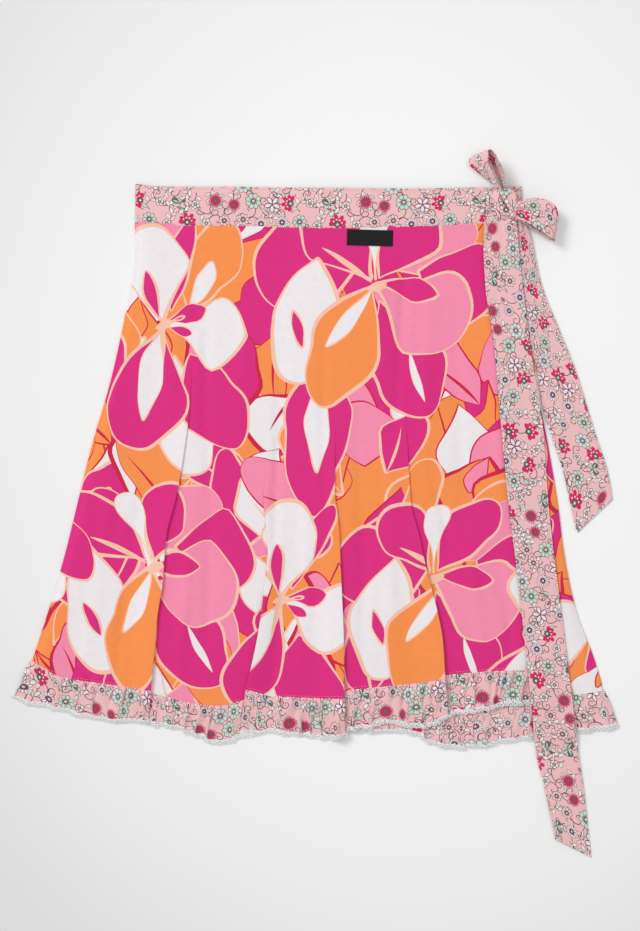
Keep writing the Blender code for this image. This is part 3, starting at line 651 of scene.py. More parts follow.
def inside(shape, points):
    crossed = np.zeros(len(points), bool)
    ends = np.roll(shape, -1, 0)
    px, py = points[:, 0], points[:, 1]
    for (ax, ay), (bx, by) in zip(shape, ends):
        if ay != by:
            crossed ^= ((ay > py) != (by > py)) & (px < (bx - ax) * (py - ay) / (by - ay) + ax)
    return crossed


def closedLine(points, spacing):
    filled = []
    for a, b in zip(points, np.roll(points, -1, 0)):
        parts = max(1, round(float(np.linalg.norm(b - a)) / spacing))
        filled += [a + (b - a) * k / parts for k in range(parts)]
    return np.array(filled)


def gridPoints(box, spacing, ratio=1.0):
    x0, y0, x1, y1 = box
    xs = np.arange(x0 + spacing / 2, x1, spacing)
    ys = np.arange(y0 + spacing * ratio / 2, y1, spacing * ratio)
    grid = np.stack(np.meshgrid(xs, ys), axis=-1)
    grid[1::2, :, 0] += spacing * 0.5
    return grid.reshape(-1, 2)


def boxOf(points):
    return (*points.min(0), *points.max(0))


def shownEdges(shapes, start):
    # the edges of painted shapes, without those that a later shape covers
    points = np.concatenate(shapes)
    owner = np.repeat(np.arange(len(shapes)), [len(shape) for shape in shapes])
    cover = np.full(len(points), -1)
    for k, shape in enumerate(shapes):
        low, high = shape.min(0), shape.max(0)
        near = np.flatnonzero((points[:, 0] >= low[0]) & (points[:, 0] <= high[0]) & (points[:, 1] >= low[1])
                              & (points[:, 1] <= high[1]) & (owner < k))
        if len(near):
            cover[near[inside(shape, points[near])]] = k
    first = np.concatenate([[0], np.cumsum([len(shape) for shape in shapes])])
    ends = np.arange(len(points)) + 1
    ends[first[1:] - 1] = first[:-1]
    shown = (cover < 0) | (cover != cover[ends])
    used, index = np.unique(np.stack([np.arange(len(points)), ends], axis=1)[shown], return_inverse=True)
    return points[used], (index.reshape(-1, 2) + start).tolist()


def clothMesh(name, cut, inner, painted, ground, surface, cloth, material, printSide=1, lines=()):
    # cuts the flat cloth into triangles along every printed edge and along the given lines,
    # then takes each corner to its place; the two walls meet at the cut edge
    box = boxOf(cut)
    shapes = [(dye, shape) for dye, shape in painted if overlaps(shape, box)]
    parts, start = [cut], len(cut)
    edges = [(k, (k + 1) % start) for k in range(start)]
    for line in lines:
        edges += [(start + k, start + k + 1) for k in range(len(line) - 1)]
        parts.append(line)
        start += len(line)
    if shapes:
        corners, shown = shownEdges([shape for _, shape in shapes], start)
        parts.append(corners)
        edges += shown
    parts.append(inner[inside(cut, inner)])
    points = np.concatenate(parts)
    found = geometry.delaunay_2d_cdt([Vector(p) for p in points.tolist()], edges, [], 0, 0.03, False)
    flat = np.array([v[:] for v in found[0]])
    faces = np.array(found[2])
    middle = flat[faces].mean(1)
    a, b, c = (flat[faces[:, k]] for k in range(3))
    area = 0.5 * ((b[:, 0] - a[:, 0]) * (c[:, 1] - a[:, 1]) - (c[:, 0] - a[:, 0]) * (b[:, 1] - a[:, 1]))
    keep = inside(cut, middle) & (np.abs(area) > 1e-4)
    faces, middle, area = faces[keep], middle[keep], area[keep]
    faces[area > 0] = faces[area > 0][:, ::-1]      # drop runs down, so this faces up

    colour = np.tile(linear(dyes[ground]), (len(faces), 1))
    for dye, shape in shapes:
        low, high = shape.min(0), shape.max(0)
        near = np.flatnonzero(np.all((middle >= low) & (middle <= high), axis=1))
        if len(near):
            colour[near[inside(shape, middle[near])]] = linear(dyes[dye])

    used, faces = np.unique(faces, return_inverse=True)
    faces = faces.reshape(-1, 3)
    flat = flat[used]
    place = lambda p: surface(p[:, 0], p[:, 1])
    step = 0.04
    points = place(flat)
    alongX = place(flat + (step, 0)) - place(flat - (step, 0))
    alongY = place(flat + (0, step)) - place(flat - (0, step))
    normal = np.cross(alongY, alongX)
    normal /= np.maximum(np.linalg.norm(normal, axis=1, keepdims=True), 1e-9)

    pairs = np.sort(np.concatenate([faces[:, [0, 1]], faces[:, [1, 2]], faces[:, [2, 0]]]), axis=1)
    unique, counts = np.unique(pairs, axis=0, return_counts=True)
    rim = np.unique(unique[counts == 1])
    isRim = np.zeros(len(flat), bool)
    isRim[rim] = True
    below = np.arange(len(flat)) + len(flat)
    below[rim] = rim
    shift = np.cumsum(isRim)
    below[~isRim] -= shift[~isRim]
    corners = np.concatenate([points, (points - normal * cloth)[~isRim]])
    under = below[faces[:, ::-1]]
    allFaces = np.concatenate([faces, under])

    mesh = bpy.data.meshes.new(name)
    mesh.from_pydata((corners * mm).tolist(), [], allFaces.tolist())
    mesh.materials.append(material)
    reverse = 0.45 * colour + 0.55 * (0.5 * colour.mean(1, keepdims=True) + 0.42)      # the paler wrong side
    # which wall has the print: 1 the upper, -1 the lower, 0 both, as double cloth has
    sides = {1: [colour, reverse], -1: [reverse, colour], 0: [colour, colour]}[printSide]
    shown = np.concatenate(sides).repeat(3, axis=0)
    layer = mesh.color_attributes.new("print", "FLOAT_COLOR", "CORNER")
    layer.data.foreach_set("color", np.c_[shown, np.ones(len(shown))].ravel().astype(np.float32))

    wide, tall = box[2] - box[0], box[3] - box[1]
    offset = np.array([wide + 8, 0]) if wide < tall else np.array([0, tall + 8])
    size = max(wide + offset[0], tall + offset[1]) + 8
    upper = (flat[faces] - box[:2] + 4)
    lower = (flat[faces[:, ::-1]] - box[:2] + 4) + offset
    thread = mesh.uv_layers.new(name="thread")      # the flat cloth in metres, for its weave
    flatUv = np.concatenate([flat[faces], flat[faces[:, ::-1]]]).reshape(-1, 2) * mm
    thread.data.foreach_set("uv", flatUv.ravel().astype(np.float32))
    islands = mesh.uv_layers.new(name="OFBake")
    bakeUv = np.concatenate([upper, lower]).reshape(-1, 2) / size
    islands.data.foreach_set("uv", bakeUv.ravel().astype(np.float32))
    mesh.uv_layers["thread"].active_render = True

    corner = np.concatenate([normal[faces].reshape(-1, 3), -normal[faces[:, ::-1]].reshape(-1, 3)])
    mesh.shade_smooth()
    mesh.normals_split_custom_set(corner.tolist())
    made = placed(name, mesh)
    print(f"{name}: {len(allFaces)} faces")
    return made


def gridSurface(rows):
    # a surface through rows of points, read by distance along and across in millimetres
    rows = np.array(rows, float)
    lengths = np.concatenate([[0], np.cumsum(np.linalg.norm(np.diff(rows, axis=0), axis=2).mean(1))])
    width = float(np.linalg.norm(np.diff(rows, axis=1), axis=2).sum(1).max())
    last = rows.shape[1] - 1

    def read(across, along):
        i = np.interp(along, lengths, np.arange(len(lengths)))
        j = np.clip(np.asarray(across) / width, 0, 1) * last
        r, c = np.minimum(i.astype(int), len(lengths) - 2), np.minimum(j.astype(int), last - 1)
        t, s = (i - r)[:, None], (j - c)[:, None]
        return (rows[r, c] * (1 - t) * (1 - s) + rows[r + 1, c] * t * (1 - s)
                + rows[r, c + 1] * (1 - t) * s + rows[r + 1, c + 1] * t * s)
    return read, width, float(lengths[-1])


# materials

def newMaterial(name, roughness, sheen):
    made = bpy.data.materials.new(name)
    made.use_nodes = True
    shader = made.node_tree.nodes["Principled BSDF"]
    for socket, value in (("Roughness", roughness), ("Sheen Weight", sheen), ("Sheen Roughness", 0.45),
                          ("Specular IOR Level", 0.25)):
        shader.inputs[socket].default_value = value
    return made, made.node_tree, shader


def mixed(tree, share, low, high):
    node = addNode(tree, "ShaderNodeMix", [(low, "A"), (high, "B"), (share, "Factor")], data_type="RGBA")
    return node.outputs["Result"]


def scaled(tree, colour, by):
    return addNode(tree, "ShaderNodeVectorMath", [(colour, 0), (by, "Scale")],
                   operation="SCALE").outputs["Vector"]


def ranged(tree, value, low, high):
    node = addNode(tree, "ShaderNodeMapRange", [(low, "To Min"), (high, "To Max"), (value, "Value")])
    return node.outputs["Result"]


def bumped(tree, shader, height, strength, distance):
    bump = addNode(tree, "ShaderNodeBump",
                   [(strength, "Strength"), (distance, "Distance"), (height, "Height")])
    tree.links.new(bump.outputs["Normal"], shader.inputs["Normal"])


def printedCotton(name, pitch, strength):
    made, tree, shader = newMaterial(name, 0.8, 0.25)
    dyed = addNode(tree, "ShaderNodeVertexColor", layer_name="print")
    flat = addNode(tree, "ShaderNodeUVMap", uv_map="thread").outputs["UV"]
    weaves = [addNode(tree, "ShaderNodeTexWave", [(0.314 / (pitch * mm), "Scale"), (0.6, "Distortion"),
                                                  (1.0, "Detail"), (flat, "Vector")],
                      bands_direction=direction)
              for direction in ("X", "Y")]        # warp and weft
    height = addNode(tree, "ShaderNodeMath", [(weave.outputs["Fac"], k) for k, weave in enumerate(weaves)],
                     operation="MULTIPLY").outputs["Value"]
    slub = addNode(tree, "ShaderNodeTexNoise", [(160.0, "Scale"), (3.0, "Detail"), (flat, "Vector")])
    shade = ranged(tree, slub.outputs["Fac"], 0.94, 1.05)       # uneven dye and thread
    # painted shade: the weave's hollows a little darker, its raised threads a little lighter
    thread = ranged(tree, height, 0.96, 1.02)
    tone = addNode(tree, "ShaderNodeMath", [(shade, 0), (thread, 1)], operation="MULTIPLY")
    tree.links.new(scaled(tree, dyed.outputs["Color"], tone.outputs["Value"]), shader.inputs["Base Color"])
    bumped(tree, shader, height, strength, 0.00012)
    return made


def plainThread(name, colour, roughness):
    made, tree, shader = newMaterial(name, roughness, 0.2)
    place = addNode(tree, "ShaderNodeTexCoord")
    noise = addNode(tree, "ShaderNodeTexNoise", [(900.0, "Scale"), (place.outputs["Object"], "Vector")])
    light = linear(colour)
    mix = mixed(tree, noise.outputs["Fac"], (*(0.82 * light), 1), (*np.minimum(1.1 * light, 1), 1))
    tree.links.new(mix, shader.inputs["Base Color"])
    return made


def blackTape():
    made, tree, shader = newMaterial("black_woven_tape", 0.7, 0.0)
    flat = addNode(tree, "ShaderNodeUVMap", uv_map="thread")
    rib = addNode(tree, "ShaderNodeTexWave",
                  [(620.0, "Scale"), (0.4, "Distortion"), (flat.outputs["UV"], "Vector")],
                  bands_direction="DIAGONAL").outputs["Fac"]
    # painted shade: the rib's hollows darker than its raised threads
    mix = mixed(tree, rib, (0.002, 0.002, 0.0025, 1), (0.009, 0.009, 0.01, 1))
    tree.links.new(mix, shader.inputs["Base Color"])
    bumped(tree, shader, rib, 0.3, 0.0001)
    return made


bigCloth = printedCotton("large_flower_cotton", 0.45, 0.25)
smallCloth = printedCotton("small_flower_cotton", 0.42, 0.3)
laceThread = plainThread("lace_thread", (254, 254, 254), 0.75)
pinkThread = plainThread("pink_thread", (232, 176, 178), 0.7)
blackThread = plainThread("black_thread", (34, 33, 36), 0.7)
tape = blackTape()
print("materials made")


# panels

def foldLines(name, lowest):
    # lines beside the fold, where the cloth turns over
    fold = overWrap["folds"][name]
    drops = np.arange(fold["start"] - 8, lowest, 4.0)
    overlap = foldSize(fold, drops)[0]
    near = [-7, -4.5, -2.6, -1.3, -0.4, 0.5, 1.4]
    inner = {"right": "rightMiddle", "left": "leftMiddle"}.get(name)
    lines = []
    for past in near + [overlap / 2] + [overlap - n for n in near]:
        if fold["topSide"] == fold["outward"]:
            x = fold["line"](drops) + (past - 2 * overlap) * -fold["topSide"]
        else:
            x = fold["line"](drops) + past * fold["outward"]
        if inner:
            x = x + 2 * foldSize(overWrap["folds"][inner], drops)[0] * fold["outward"]
        lines.append(np.stack([x, drops], axis=-1))
    return lines


def awayFromFolds(points):
    keep = np.ones(len(points), bool)
    x = points[:, 0].copy()
    for name in foldOrder:
        fold = overWrap["folds"][name]
        past, overlap = pastFold(fold, x, points[:, 1])[:2]
        keep &= ~((past > -8) & (past < overlap + 8) & (points[:, 1] > fold["start"] - 14))
        x = turnedUnder(fold, x, past, overlap)
    return points[keep]


def sideLine(at, drops):
    return [(float(at(drop)), drop) for drop in drops]


def waistDrop(x):
    return waistY - float(bandSeam(x)) - 2.0


def makeOverPanel():
    seam, _ = hemOf("over")
    radius = overWrap["sideRadius"]
    reach = radius * math.pi / 2 + 0.6
    clothLeft = lambda drop: seenToCloth(leftEdge(drop), drop) - sideTake * radius - reach
    clothRight = lambda drop: seenToCloth(freeEdge(drop), drop)
    hemLeft, hemRight = float(clothLeft(432)), float(clothRight(444))
    drops = np.arange(4, 430, 5.0)
    cut = [(x, waistDrop(x)) for x in np.arange(-184, 186, 6.0)]
    cut += sideLine(clothRight, [*drops, 436])
    cut += [(x, float(seam(x))) for x in np.arange(hemRight, hemLeft, -3.0)]
    cut += sideLine(clothLeft, drops[::-1])
    cut = np.array(cut)
    box = boxOf(cut)
    inner = awayFromFolds(gridPoints(box, overWrap["spacing"]))
    lines = [line for name in overWrap["folds"] for line in foldLines(name, 480)]
    sideDrops = np.arange(6, 440, 5.0)
    lines += [np.stack([clothLeft(sideDrops) + s, sideDrops], axis=-1)
              for s in (1.4, 2.6, 3.8, 5.2, 7.0, 10.0)]
    return clothMesh("over_wrap_panel_cloth", cut, inner, bigPrint(overFlowers, box, 5), "orange",
                     overSurface, overWrap["cloth"], bigCloth, lines=lines)


def makeUnderPanel():
    seam, _ = hemOf("under")
    radius = underSideRadius
    clothRight = lambda drop: rightEdge(drop) + sideTake * radius + radius * math.pi / 2 + 0.5
    drops = np.arange(4, 455, 6.0)
    cut = [(x, waistDrop(x)) for x in np.arange(-1, 206, 6.0)]
    cut += sideLine(clothRight, drops)
    cut += [(x, float(seam(x))) for x in np.arange(float(clothRight(462)), 31, -4.0)]
    cut += sideLine(underFree, drops[::-1])
    cut = np.array(cut)
    box = boxOf(cut)
    lines = [np.stack([clothRight(drops) - s, drops], axis=-1) for s in (1.2, 2.3, 3.4, 4.8, 8.0)]
    return clothMesh("under_wrap_panel_cloth", cut, gridPoints(box, 9.0), bigPrint(underFlowers, box, 9),
                     "orange",
                     underSurface, overWrap["cloth"], bigCloth, lines=lines)


def makeBackPanel():
    seam, _ = hemOf("back")
    left, right = (lambda drop: leftEdge(drop) + 3.4), (lambda drop: rightEdge(drop) - 3.4)
    drops = np.arange(4, 430, 8.0)
    cut = [(x, waistDrop(x)) for x in np.arange(-178, 200, 8.0)] + sideLine(right, [*drops, 440, 448, 456])
    cut += [(x, float(seam(x))) for x in np.arange(278, -281, -6.0)] + sideLine(left, drops[::-1])
    cut = np.array(cut)
    box = boxOf(cut)
    return clothMesh("back_panel_cloth", cut, gridPoints(box, 14.0), bigPrint(backFlowers, box, 0), "orange",
                     backSurface, overWrap["cloth"], bigCloth, -1)


overPanel = makeOverPanel()
underPanel = makeUnderPanel()
backPanel = makeBackPanel()
print("panels made")


# ruffles and their lace

def gather(at, pitch):      # unevenly spaced waves, 0 in a valley and 1 on a ridge
    phase = at / pitch + 0.33 * np.sin(at / 21.0) + 0.21 * np.sin(at / 8.7 + 1.0)
    return 0.5 - 0.5 * np.cos(2 * math.pi * phase), np.sin(2 * math.pi * phase)


def fan(x):
    reach = ruffles["fanReach"]
    return -14.4 * ease((-284.6 + reach - x) / reach) + 13.0 * ease((x - 286 + reach) / reach)


def ruffleSurface(name, panel):
    seam, edge = hemOf(name)
    facts = ruffles[name]
    pinch = {"over": 4.0, "under": 2.2, "back": 0.3}[name]

    def depthOf(across):
        return edge(across) - seam(across) - ruffles["lace"]

    def place(at, down):
        across = at / ruffles["fullness"]
        share = np.clip(down / depthOf(across), 0, 1.2)
        drop = seam(across) + down
        points = panel(across, drop)
        calm = throughFolds(across, drop)[2] if name == "over" else 0.0
        wave, lean = gather(points[:, 0] + 5 * share * np.sin(across / 29), facts["pitch"])
        phase = across / 11.5 + 0.4 * np.sin(across / 12) + 0.22 * np.sin(across / 5.3) + 0.012 * down
        tuck = np.abs(np.sin(math.pi * phase))**0.55 * (0.75 + 0.35 * np.sin(across / 19 + 2))
        grown = ease(share * 1.25) * (1 - 0.8 * calm)
        side = np.minimum(points[:, 0] - leftEdge(drop), rightEdge(drop) - points[:, 0])
        still = ease(side / 9)
        loose = facts["height"] > 1
        size = facts["height"] * (0.72 + 0.38 * np.sin(across / 37 + 0.6))
        lift = (size * (wave**0.8 - 0.18) * grown - facts["sink"] * share) * still
        lift += pinch * tuck * ease((down + 1.0) / 5) * (1 - 0.7 * ease((down - 8) / 30)) * still
        lift -= 0.55 * (1 - ease((down + 0.3) / 1.2))       # tucked under the panel's edge
        points[:, 0] += (fan(points[:, 0]) * np.clip(share, 0, 1) + loose * (1.9 * lean * grown
                         + 1.2 * np.sin(across / 3.9 + 1) * share))
        points[:, 1] -= loose * ((1.6 * wave - 0.8) * grown + 0.6 * np.sin(across / 5.2) * share)
        points[:, 2] += lift
        if name == "over":      # it lies on the under ruffle, and settles on the back one where there is none
            onUnder = climb(points[:, 0] - underFree(drop))
            settled = 0.55 * share * (1 - onUnder) * still
            lowest = 1.9 + 3.5 * onUnder * ease(share * 1.6) * still
            points[:, 2] = softRamp(points[:, 2] * (1 - settled) - lowest, 0.5) + lowest
        points[:, 2] = np.maximum(points[:, 2], 0.5)
        return points

    return place, lambda at: float(depthOf(at / ruffles["fullness"]))


def makeRuffle(name, panel, left, right, step, shift, fine=True):
    place, depthAt = ruffleSurface(name, panel)
    full = ruffles["fullness"]
    ats = np.arange(left * full, right * full, 2.0)
    tuck = -ruffles["tuck"]
    cut = [(at, tuck) for at in np.append(ats, right * full)]
    cut += [(right * full, down) for down in np.arange(0, depthAt(right * full) - 1, 2.5)]
    cut += [(at, depthAt(at)) for at in np.append(ats, right * full)[::-1]]
    cut += [(left * full, down) for down in np.arange(depthAt(left * full) - 2, 0, -2.5)]
    cut = np.array(cut)
    box = boxOf(cut)
    painted = smallPrint(box, shift, fine=fine)
    printSide = -1 if name == "back" else 1
    cloth = clothMesh(f"ruffle_{name}_cloth", cut, gridPoints(box, step, 1.5), painted, "rose", place,
                      ruffles["cloth"], smallCloth, printSide)
    # the edge line that carries the lace, from right to left, with the way up on it
    ats = np.arange(right * full - 1, left * full + 1, -0.8)
    downs = np.array([depthAt(at) for at in ats]) - 0.3
    line = place(ats, downs)
    alongX = place(ats + 0.1, downs) - place(ats - 0.1, downs)
    alongY = place(ats, downs - 0.1) - place(ats, downs + 0.1)
    up = np.cross(alongX, alongY)
    # the lace lies flatter than the cloth
    up = up / np.linalg.norm(up, axis=1, keepdims=True) + (0, 0, 1.5)
    lies = 0.7 + (name == "over") * 4.7 * climb(line[:, 0] - underFree(waistY - line[:, 1]))
    up[:, 1] -= np.clip((line[:, 2] - lies) * 0.25, 0, 0.8)     # and droops to what it lies on
    line[:, 2] = np.maximum(line[:, 2], 0.7)
    return cloth, line, up / np.linalg.norm(up, axis=1, keepdims=True)


def edgeLine(name, points, up):
    mesh = bpy.data.meshes.new(name)
    mesh.from_pydata((points * mm).tolist(), [(k, k + 1) for k in range(len(points) - 1)], [])
    layer = mesh.attributes.new("up", "FLOAT_VECTOR", "POINT")
    layer.data.foreach_set("vector", np.asarray(up, np.float32).ravel())
    return placed(name, mesh)


def newGroup(name, inputs):
    group = bpy.data.node_groups.new(name, "GeometryNodeTree")
    group.interface.new_socket(name="Geometry", in_out="INPUT", socket_type="NodeSocketGeometry")
    for title, kind in inputs:
        group.interface.new_socket(name=title, in_out="INPUT", socket_type=kind)
    group.interface.new_socket(name="Geometry", in_out="OUTPUT", socket_type="NodeSocketGeometry")
    start, end = group.nodes.new("NodeGroupInput"), group.nodes.new("NodeGroupOutput")
    return group, start.outputs, end.inputs


def stitchGroup():
    group, given, out = newGroup("stitch_row", [("Length", "NodeSocketFloat"), ("Gap", "NodeSocketFloat"),
                                                ("Thread", "NodeSocketFloat"), ("Seed", "NodeSocketInt"),
                                                ("Material", "NodeSocketMaterial")])
    pitch = addNode(group, "ShaderNodeMath", [(given["Length"], 0), (given["Gap"], 1)], operation="ADD")
    line = addNode(group, "GeometryNodeMeshToCurve", [(given["Geometry"], "Mesh")])
    spaced = addNode(group, "GeometryNodeResampleCurve",
                     [(line.outputs[0], "Curve"), (pitch.outputs[0], "Length")],
                     mode="LENGTH")
    tangent = addNode(group, "GeometryNodeInputTangent")
    turn = addNode(group, "FunctionNodeAlignRotationToVector", [(tangent.outputs[0], "Vector")], axis="Z")
    halfLength = addNode(group, "ShaderNodeMath", [(given["Length"], 0), (0.5, 1)], operation="MULTIPLY")
    size = addNode(group, "ShaderNodeCombineXYZ",
                   [(given["Thread"], 0), (given["Thread"], 1), (halfLength.outputs[0], 2)])
    bead = addNode(group, "GeometryNodeMeshUVSphere", [(5, "Segments"), (3, "Rings"), (1.0, "Radius")])
    stitch = addNode(group, "GeometryNodeTransform",
                     [(bead.outputs["Mesh"], "Geometry"), (size.outputs[0], "Scale")])
    vary = addNode(group, "FunctionNodeRandomValue", [(0.85, 2), (1.15, 3), (given["Seed"], "Seed")])
    copies = addNode(group, "GeometryNodeInstanceOnPoints",
                     [(spaced.outputs[0], "Points"), (stitch.outputs[0], "Instance"),
                      (turn.outputs[0], "Rotation"),
                      (vary.outputs[1], "Scale")])
    real = addNode(group, "GeometryNodeRealizeInstances", [(copies.outputs[0], "Geometry")])
    dressed = addNode(group, "GeometryNodeSetMaterial",
                      [(real.outputs[0], "Geometry"), (given["Material"], "Material")])
    group.links.new(dressed.outputs[0], out["Geometry"])
    return group


def laceGroup():
    group, given, out = newGroup("lace_edging", [("Pitch", "NodeSocketFloat"), ("Depth", "NodeSocketFloat"),
                                                 ("Thread", "NodeSocketFloat"), ("Seed", "NodeSocketInt"),
                                                 ("Material", "NodeSocketMaterial")])
    line = addNode(group, "GeometryNodeMeshToCurve", [(given["Geometry"], "Mesh")])
    spaced = addNode(group, "GeometryNodeResampleCurve",
                     [(line.outputs[0], "Curve"), (given["Pitch"], "Length")],
                     mode="LENGTH")
    tangent = addNode(group, "GeometryNodeInputTangent")
    up = addNode(group, "GeometryNodeInputNamedAttribute", [("up", "Name")], data_type="FLOAT_VECTOR")
    alongLine = addNode(group, "FunctionNodeAlignRotationToVector", [(tangent.outputs[0], "Vector")],
                        axis="X")
    upright = addNode(group, "FunctionNodeAlignRotationToVector",
                      [(alongLine.outputs[0], "Rotation"), (up.outputs[0], "Vector")], axis="Z",
                      pivot_axis="X")
    profile = addNode(group, "GeometryNodeCurvePrimitiveCircle",
                      [(4, "Resolution"), (given["Thread"], "Radius")])
    loops = []
    # an outer loop, one in it, and one between neighbours: its steps, and as shares of pitch
    # and depth its width, height, how far along and how far out
    for steps, wide, tall, along, centre in ((10, 0.47, 0.4, 0.0, 0.62), (7, 0.24, 0.22, 0.0, 0.5),
                                             (8, 0.4, 0.24, 0.5, 0.24)):
        circle = addNode(group, "GeometryNodeCurvePrimitiveCircle", [(steps, "Resolution"), (1.0, "Radius")])
        sizes = [addNode(group, "ShaderNodeMath", [(given[key], 0), (value, 1)], operation="MULTIPLY")
                 for key, value in (("Pitch", wide), ("Depth", tall), ("Pitch", along), ("Depth", centre))]
        scale = addNode(group, "ShaderNodeCombineXYZ",
                        [(sizes[0].outputs[0], 0), (sizes[1].outputs[0], 1), (1.0, 2)])
        move = addNode(group, "ShaderNodeCombineXYZ", [(sizes[2].outputs[0], 0), (sizes[3].outputs[0], 1)])
        shaped = addNode(group, "GeometryNodeTransform",
                         [(circle.outputs["Curve"], "Geometry"), (scale.outputs[0], "Scale"),
                          (move.outputs[0], "Translation")])
        loops.append(addNode(group, "GeometryNodeCurveToMesh",
                             [(shaped.outputs[0], "Curve"), (profile.outputs["Curve"], "Profile Curve")]))
    picot = addNode(group, "GeometryNodeJoinGeometry")
    for loop in loops:
        group.links.new(loop.outputs[0], picot.inputs[0])
    vary = addNode(group, "FunctionNodeRandomValue", [(0.75, 2), (1.12, 3), (given["Seed"], "Seed")])
    copies = addNode(group, "GeometryNodeInstanceOnPoints",
                     [(spaced.outputs[0], "Points"), (picot.outputs[0], "Instance"),
                      (upright.outputs[0], "Rotation"),
                      (vary.outputs[1], "Scale")])
    real = addNode(group, "GeometryNodeRealizeInstances", [(copies.outputs[0], "Geometry")])
    header = addNode(group, "GeometryNodeCurveToMesh",
                     [(line.outputs[0], "Curve"), (profile.outputs["Curve"], "Profile Curve")])
    whole = addNode(group, "GeometryNodeJoinGeometry")
    for part in (real, header):
        group.links.new(part.outputs[0], whole.inputs[0])
    dressed = addNode(group, "GeometryNodeSetMaterial",
                      [(whole.outputs[0], "Geometry"), (given["Material"], "Material")])
    group.links.new(dressed.outputs[0], out["Geometry"])
    return group


def grown(line, group, values, name):
    # runs a node group on a line and keeps its result as a plain mesh
    modifier = line.modifiers.new(group.name, "NODES")
    modifier.node_group = group
    for item in group.interface.items_tree:
        if item.in_out == "INPUT" and item.name in values:
            modifier[item.identifier] = values[item.name]
    depsgraph = bpy.context.evaluated_depsgraph_get()
    mesh = bpy.data.meshes.new_from_object(line.evaluated_get(depsgraph), depsgraph=depsgraph)
    mesh.name = name
    made = placed(name, mesh)
    bpy.data.objects.remove(line, do_unlink=True)
    mesh.shade_smooth()
    print(f"{name}: {len(mesh.polygons)} faces")
    return made


stitchRow, laceEdging = stitchGroup(), laceGroup()


def stitched(name, lines, thread, seed=1):
    points, edges = [], []
    for line in lines:
        first = len(points)
        points += [tuple(p) for p in np.asarray(line) * mm]
        edges += [(first + k, first + k + 1) for k in range(len(line) - 1)]
    mesh = bpy.data.meshes.new(name)
    mesh.from_pydata(points, edges, [])
    line = placed(name + "_line", mesh)
    return grown(line, stitchRow, {"Length": threads["stitchLength"] * mm, "Gap": threads["stitchGap"] * mm,
                                   "Thread": threads["radius"] * mm, "Seed": seed, "Material": thread}, name)


def laced(name, points, up, spread=1.0):
    line = edgeLine(name + "_line", points, up)
    made = grown(line, laceEdging,
                 {"Pitch": threads["lacePitch"] * spread * mm, "Depth": threads["laceDepth"] * mm,
                  "Thread": threads["laceThread"] * mm, "Seed": 3, "Material": laceThread}, name)
    for corner in made.data.vertices:       # it lies on the table, not through it
        corner.co.z = max(corner.co.z, 0.1 * mm)
    return made


overLeft = float(seenToCloth(np.array(-287.0), 434.0)) - 2
overRight = float(seenToCloth(np.array(230.5), 444.0))
overRuffle, overLine, overUp = makeRuffle("over", overSurface, overLeft, overRight, 2.2, (12.0, 8.0))
underRuffle, underLine, underUp = makeRuffle("under", underSurface, 32.0, 288.0, 2.8, (60.0, 40.0))
backRuffle, backLine, backUp = makeRuffle("back", backSurface, -281.0, 281.0, 6.0, (90.0, 20.0), False)
overLace = laced("lace_over", overLine, overUp)
underLace = laced("lace_under", underLine, underUp)
backLace = laced("lace_back", backLine, backUp, 2.0)
print("ruffles and lace made")


# waistband, label

def bandSurface(levelOf, inset, rollLeft=None, rollRight=None):
    def place(across, down):
        top, seam = bandTop(across) - inset, bandSeam(across)
        share = np.clip(down / waistband["depth"], 0, 1)
        x = np.array(across, float)
        lift = np.ones_like(x)
        if rollLeft is not None:
            inward, lift = aroundSide(x - rollLeft + 1.1, 1.9)
            x = rollLeft + inward
        if rollRight is not None:
            inward, lift = aroundSide(rollRight - x + 1.0, 1.7)
            x = rollRight - inward
        edge = np.minimum(share, 1 - share) * waistband["depth"]
        # rounded fold at both edges
        folded = np.sqrt(np.clip(1 - (1 - np.clip(edge / 1.6, 0, 1))**2, 0, 1))
        uneven = 0.16 * np.sin(across / 6.1 + 2 * share) * np.sin(across / 15)
        puff = waistband["puff"] * np.sin(math.pi * share) + uneven
        # puckers at the seams
        puff += 0.22 * np.sin(across / 2.9 + np.sin(across / 7)) * np.exp(-edge / 3.0)
        z = levelOf(across) + 0.5 + (waistband["cloth"] - 0.5) * folded + puff * folded
        return np.stack([x, top + (seam - top) * share + 0.25 * np.sin(across / 19), 0.3 + (z - 0.3) * lift],
                        axis=-1)
    return place


def makeBand(name, left, right, place, step, shift, printFrom=-300, fine=True):
    depth = waistband["depth"]
    xs = np.arange(left, right, 5.0)
    downs = np.arange(0, depth, 4.0)
    cut = np.array([(x, 0) for x in xs] + [(right, d) for d in downs]
                   + [(x, depth) for x in np.append(xs, right)[::-1]] + [(left, d) for d in downs[:0:-1]],
                   float)
    box = boxOf(cut)
    rows = [(x, d) for x in np.arange(left + 1, right, step) for d in (0.5, 1.1, 1.8, 38.2, 38.9, 39.5)]
    ends = [(x, d) for d in downs[1:]
            for x in (left + 1.2, left + 2.4, left + 3.6, left + 5, right - 5, right - 3.6,
                                                right - 2.4, right - 1.2)]
    inner = np.concatenate([gridPoints(box, step), np.array(rows), np.array(ends)])
    painted = smallPrint((max(box[0], printFrom), *box[1:]), shift, fine=fine)
    return clothMesh(name, cut, inner, painted, "rose", place, 0.8, smallCloth, 0)


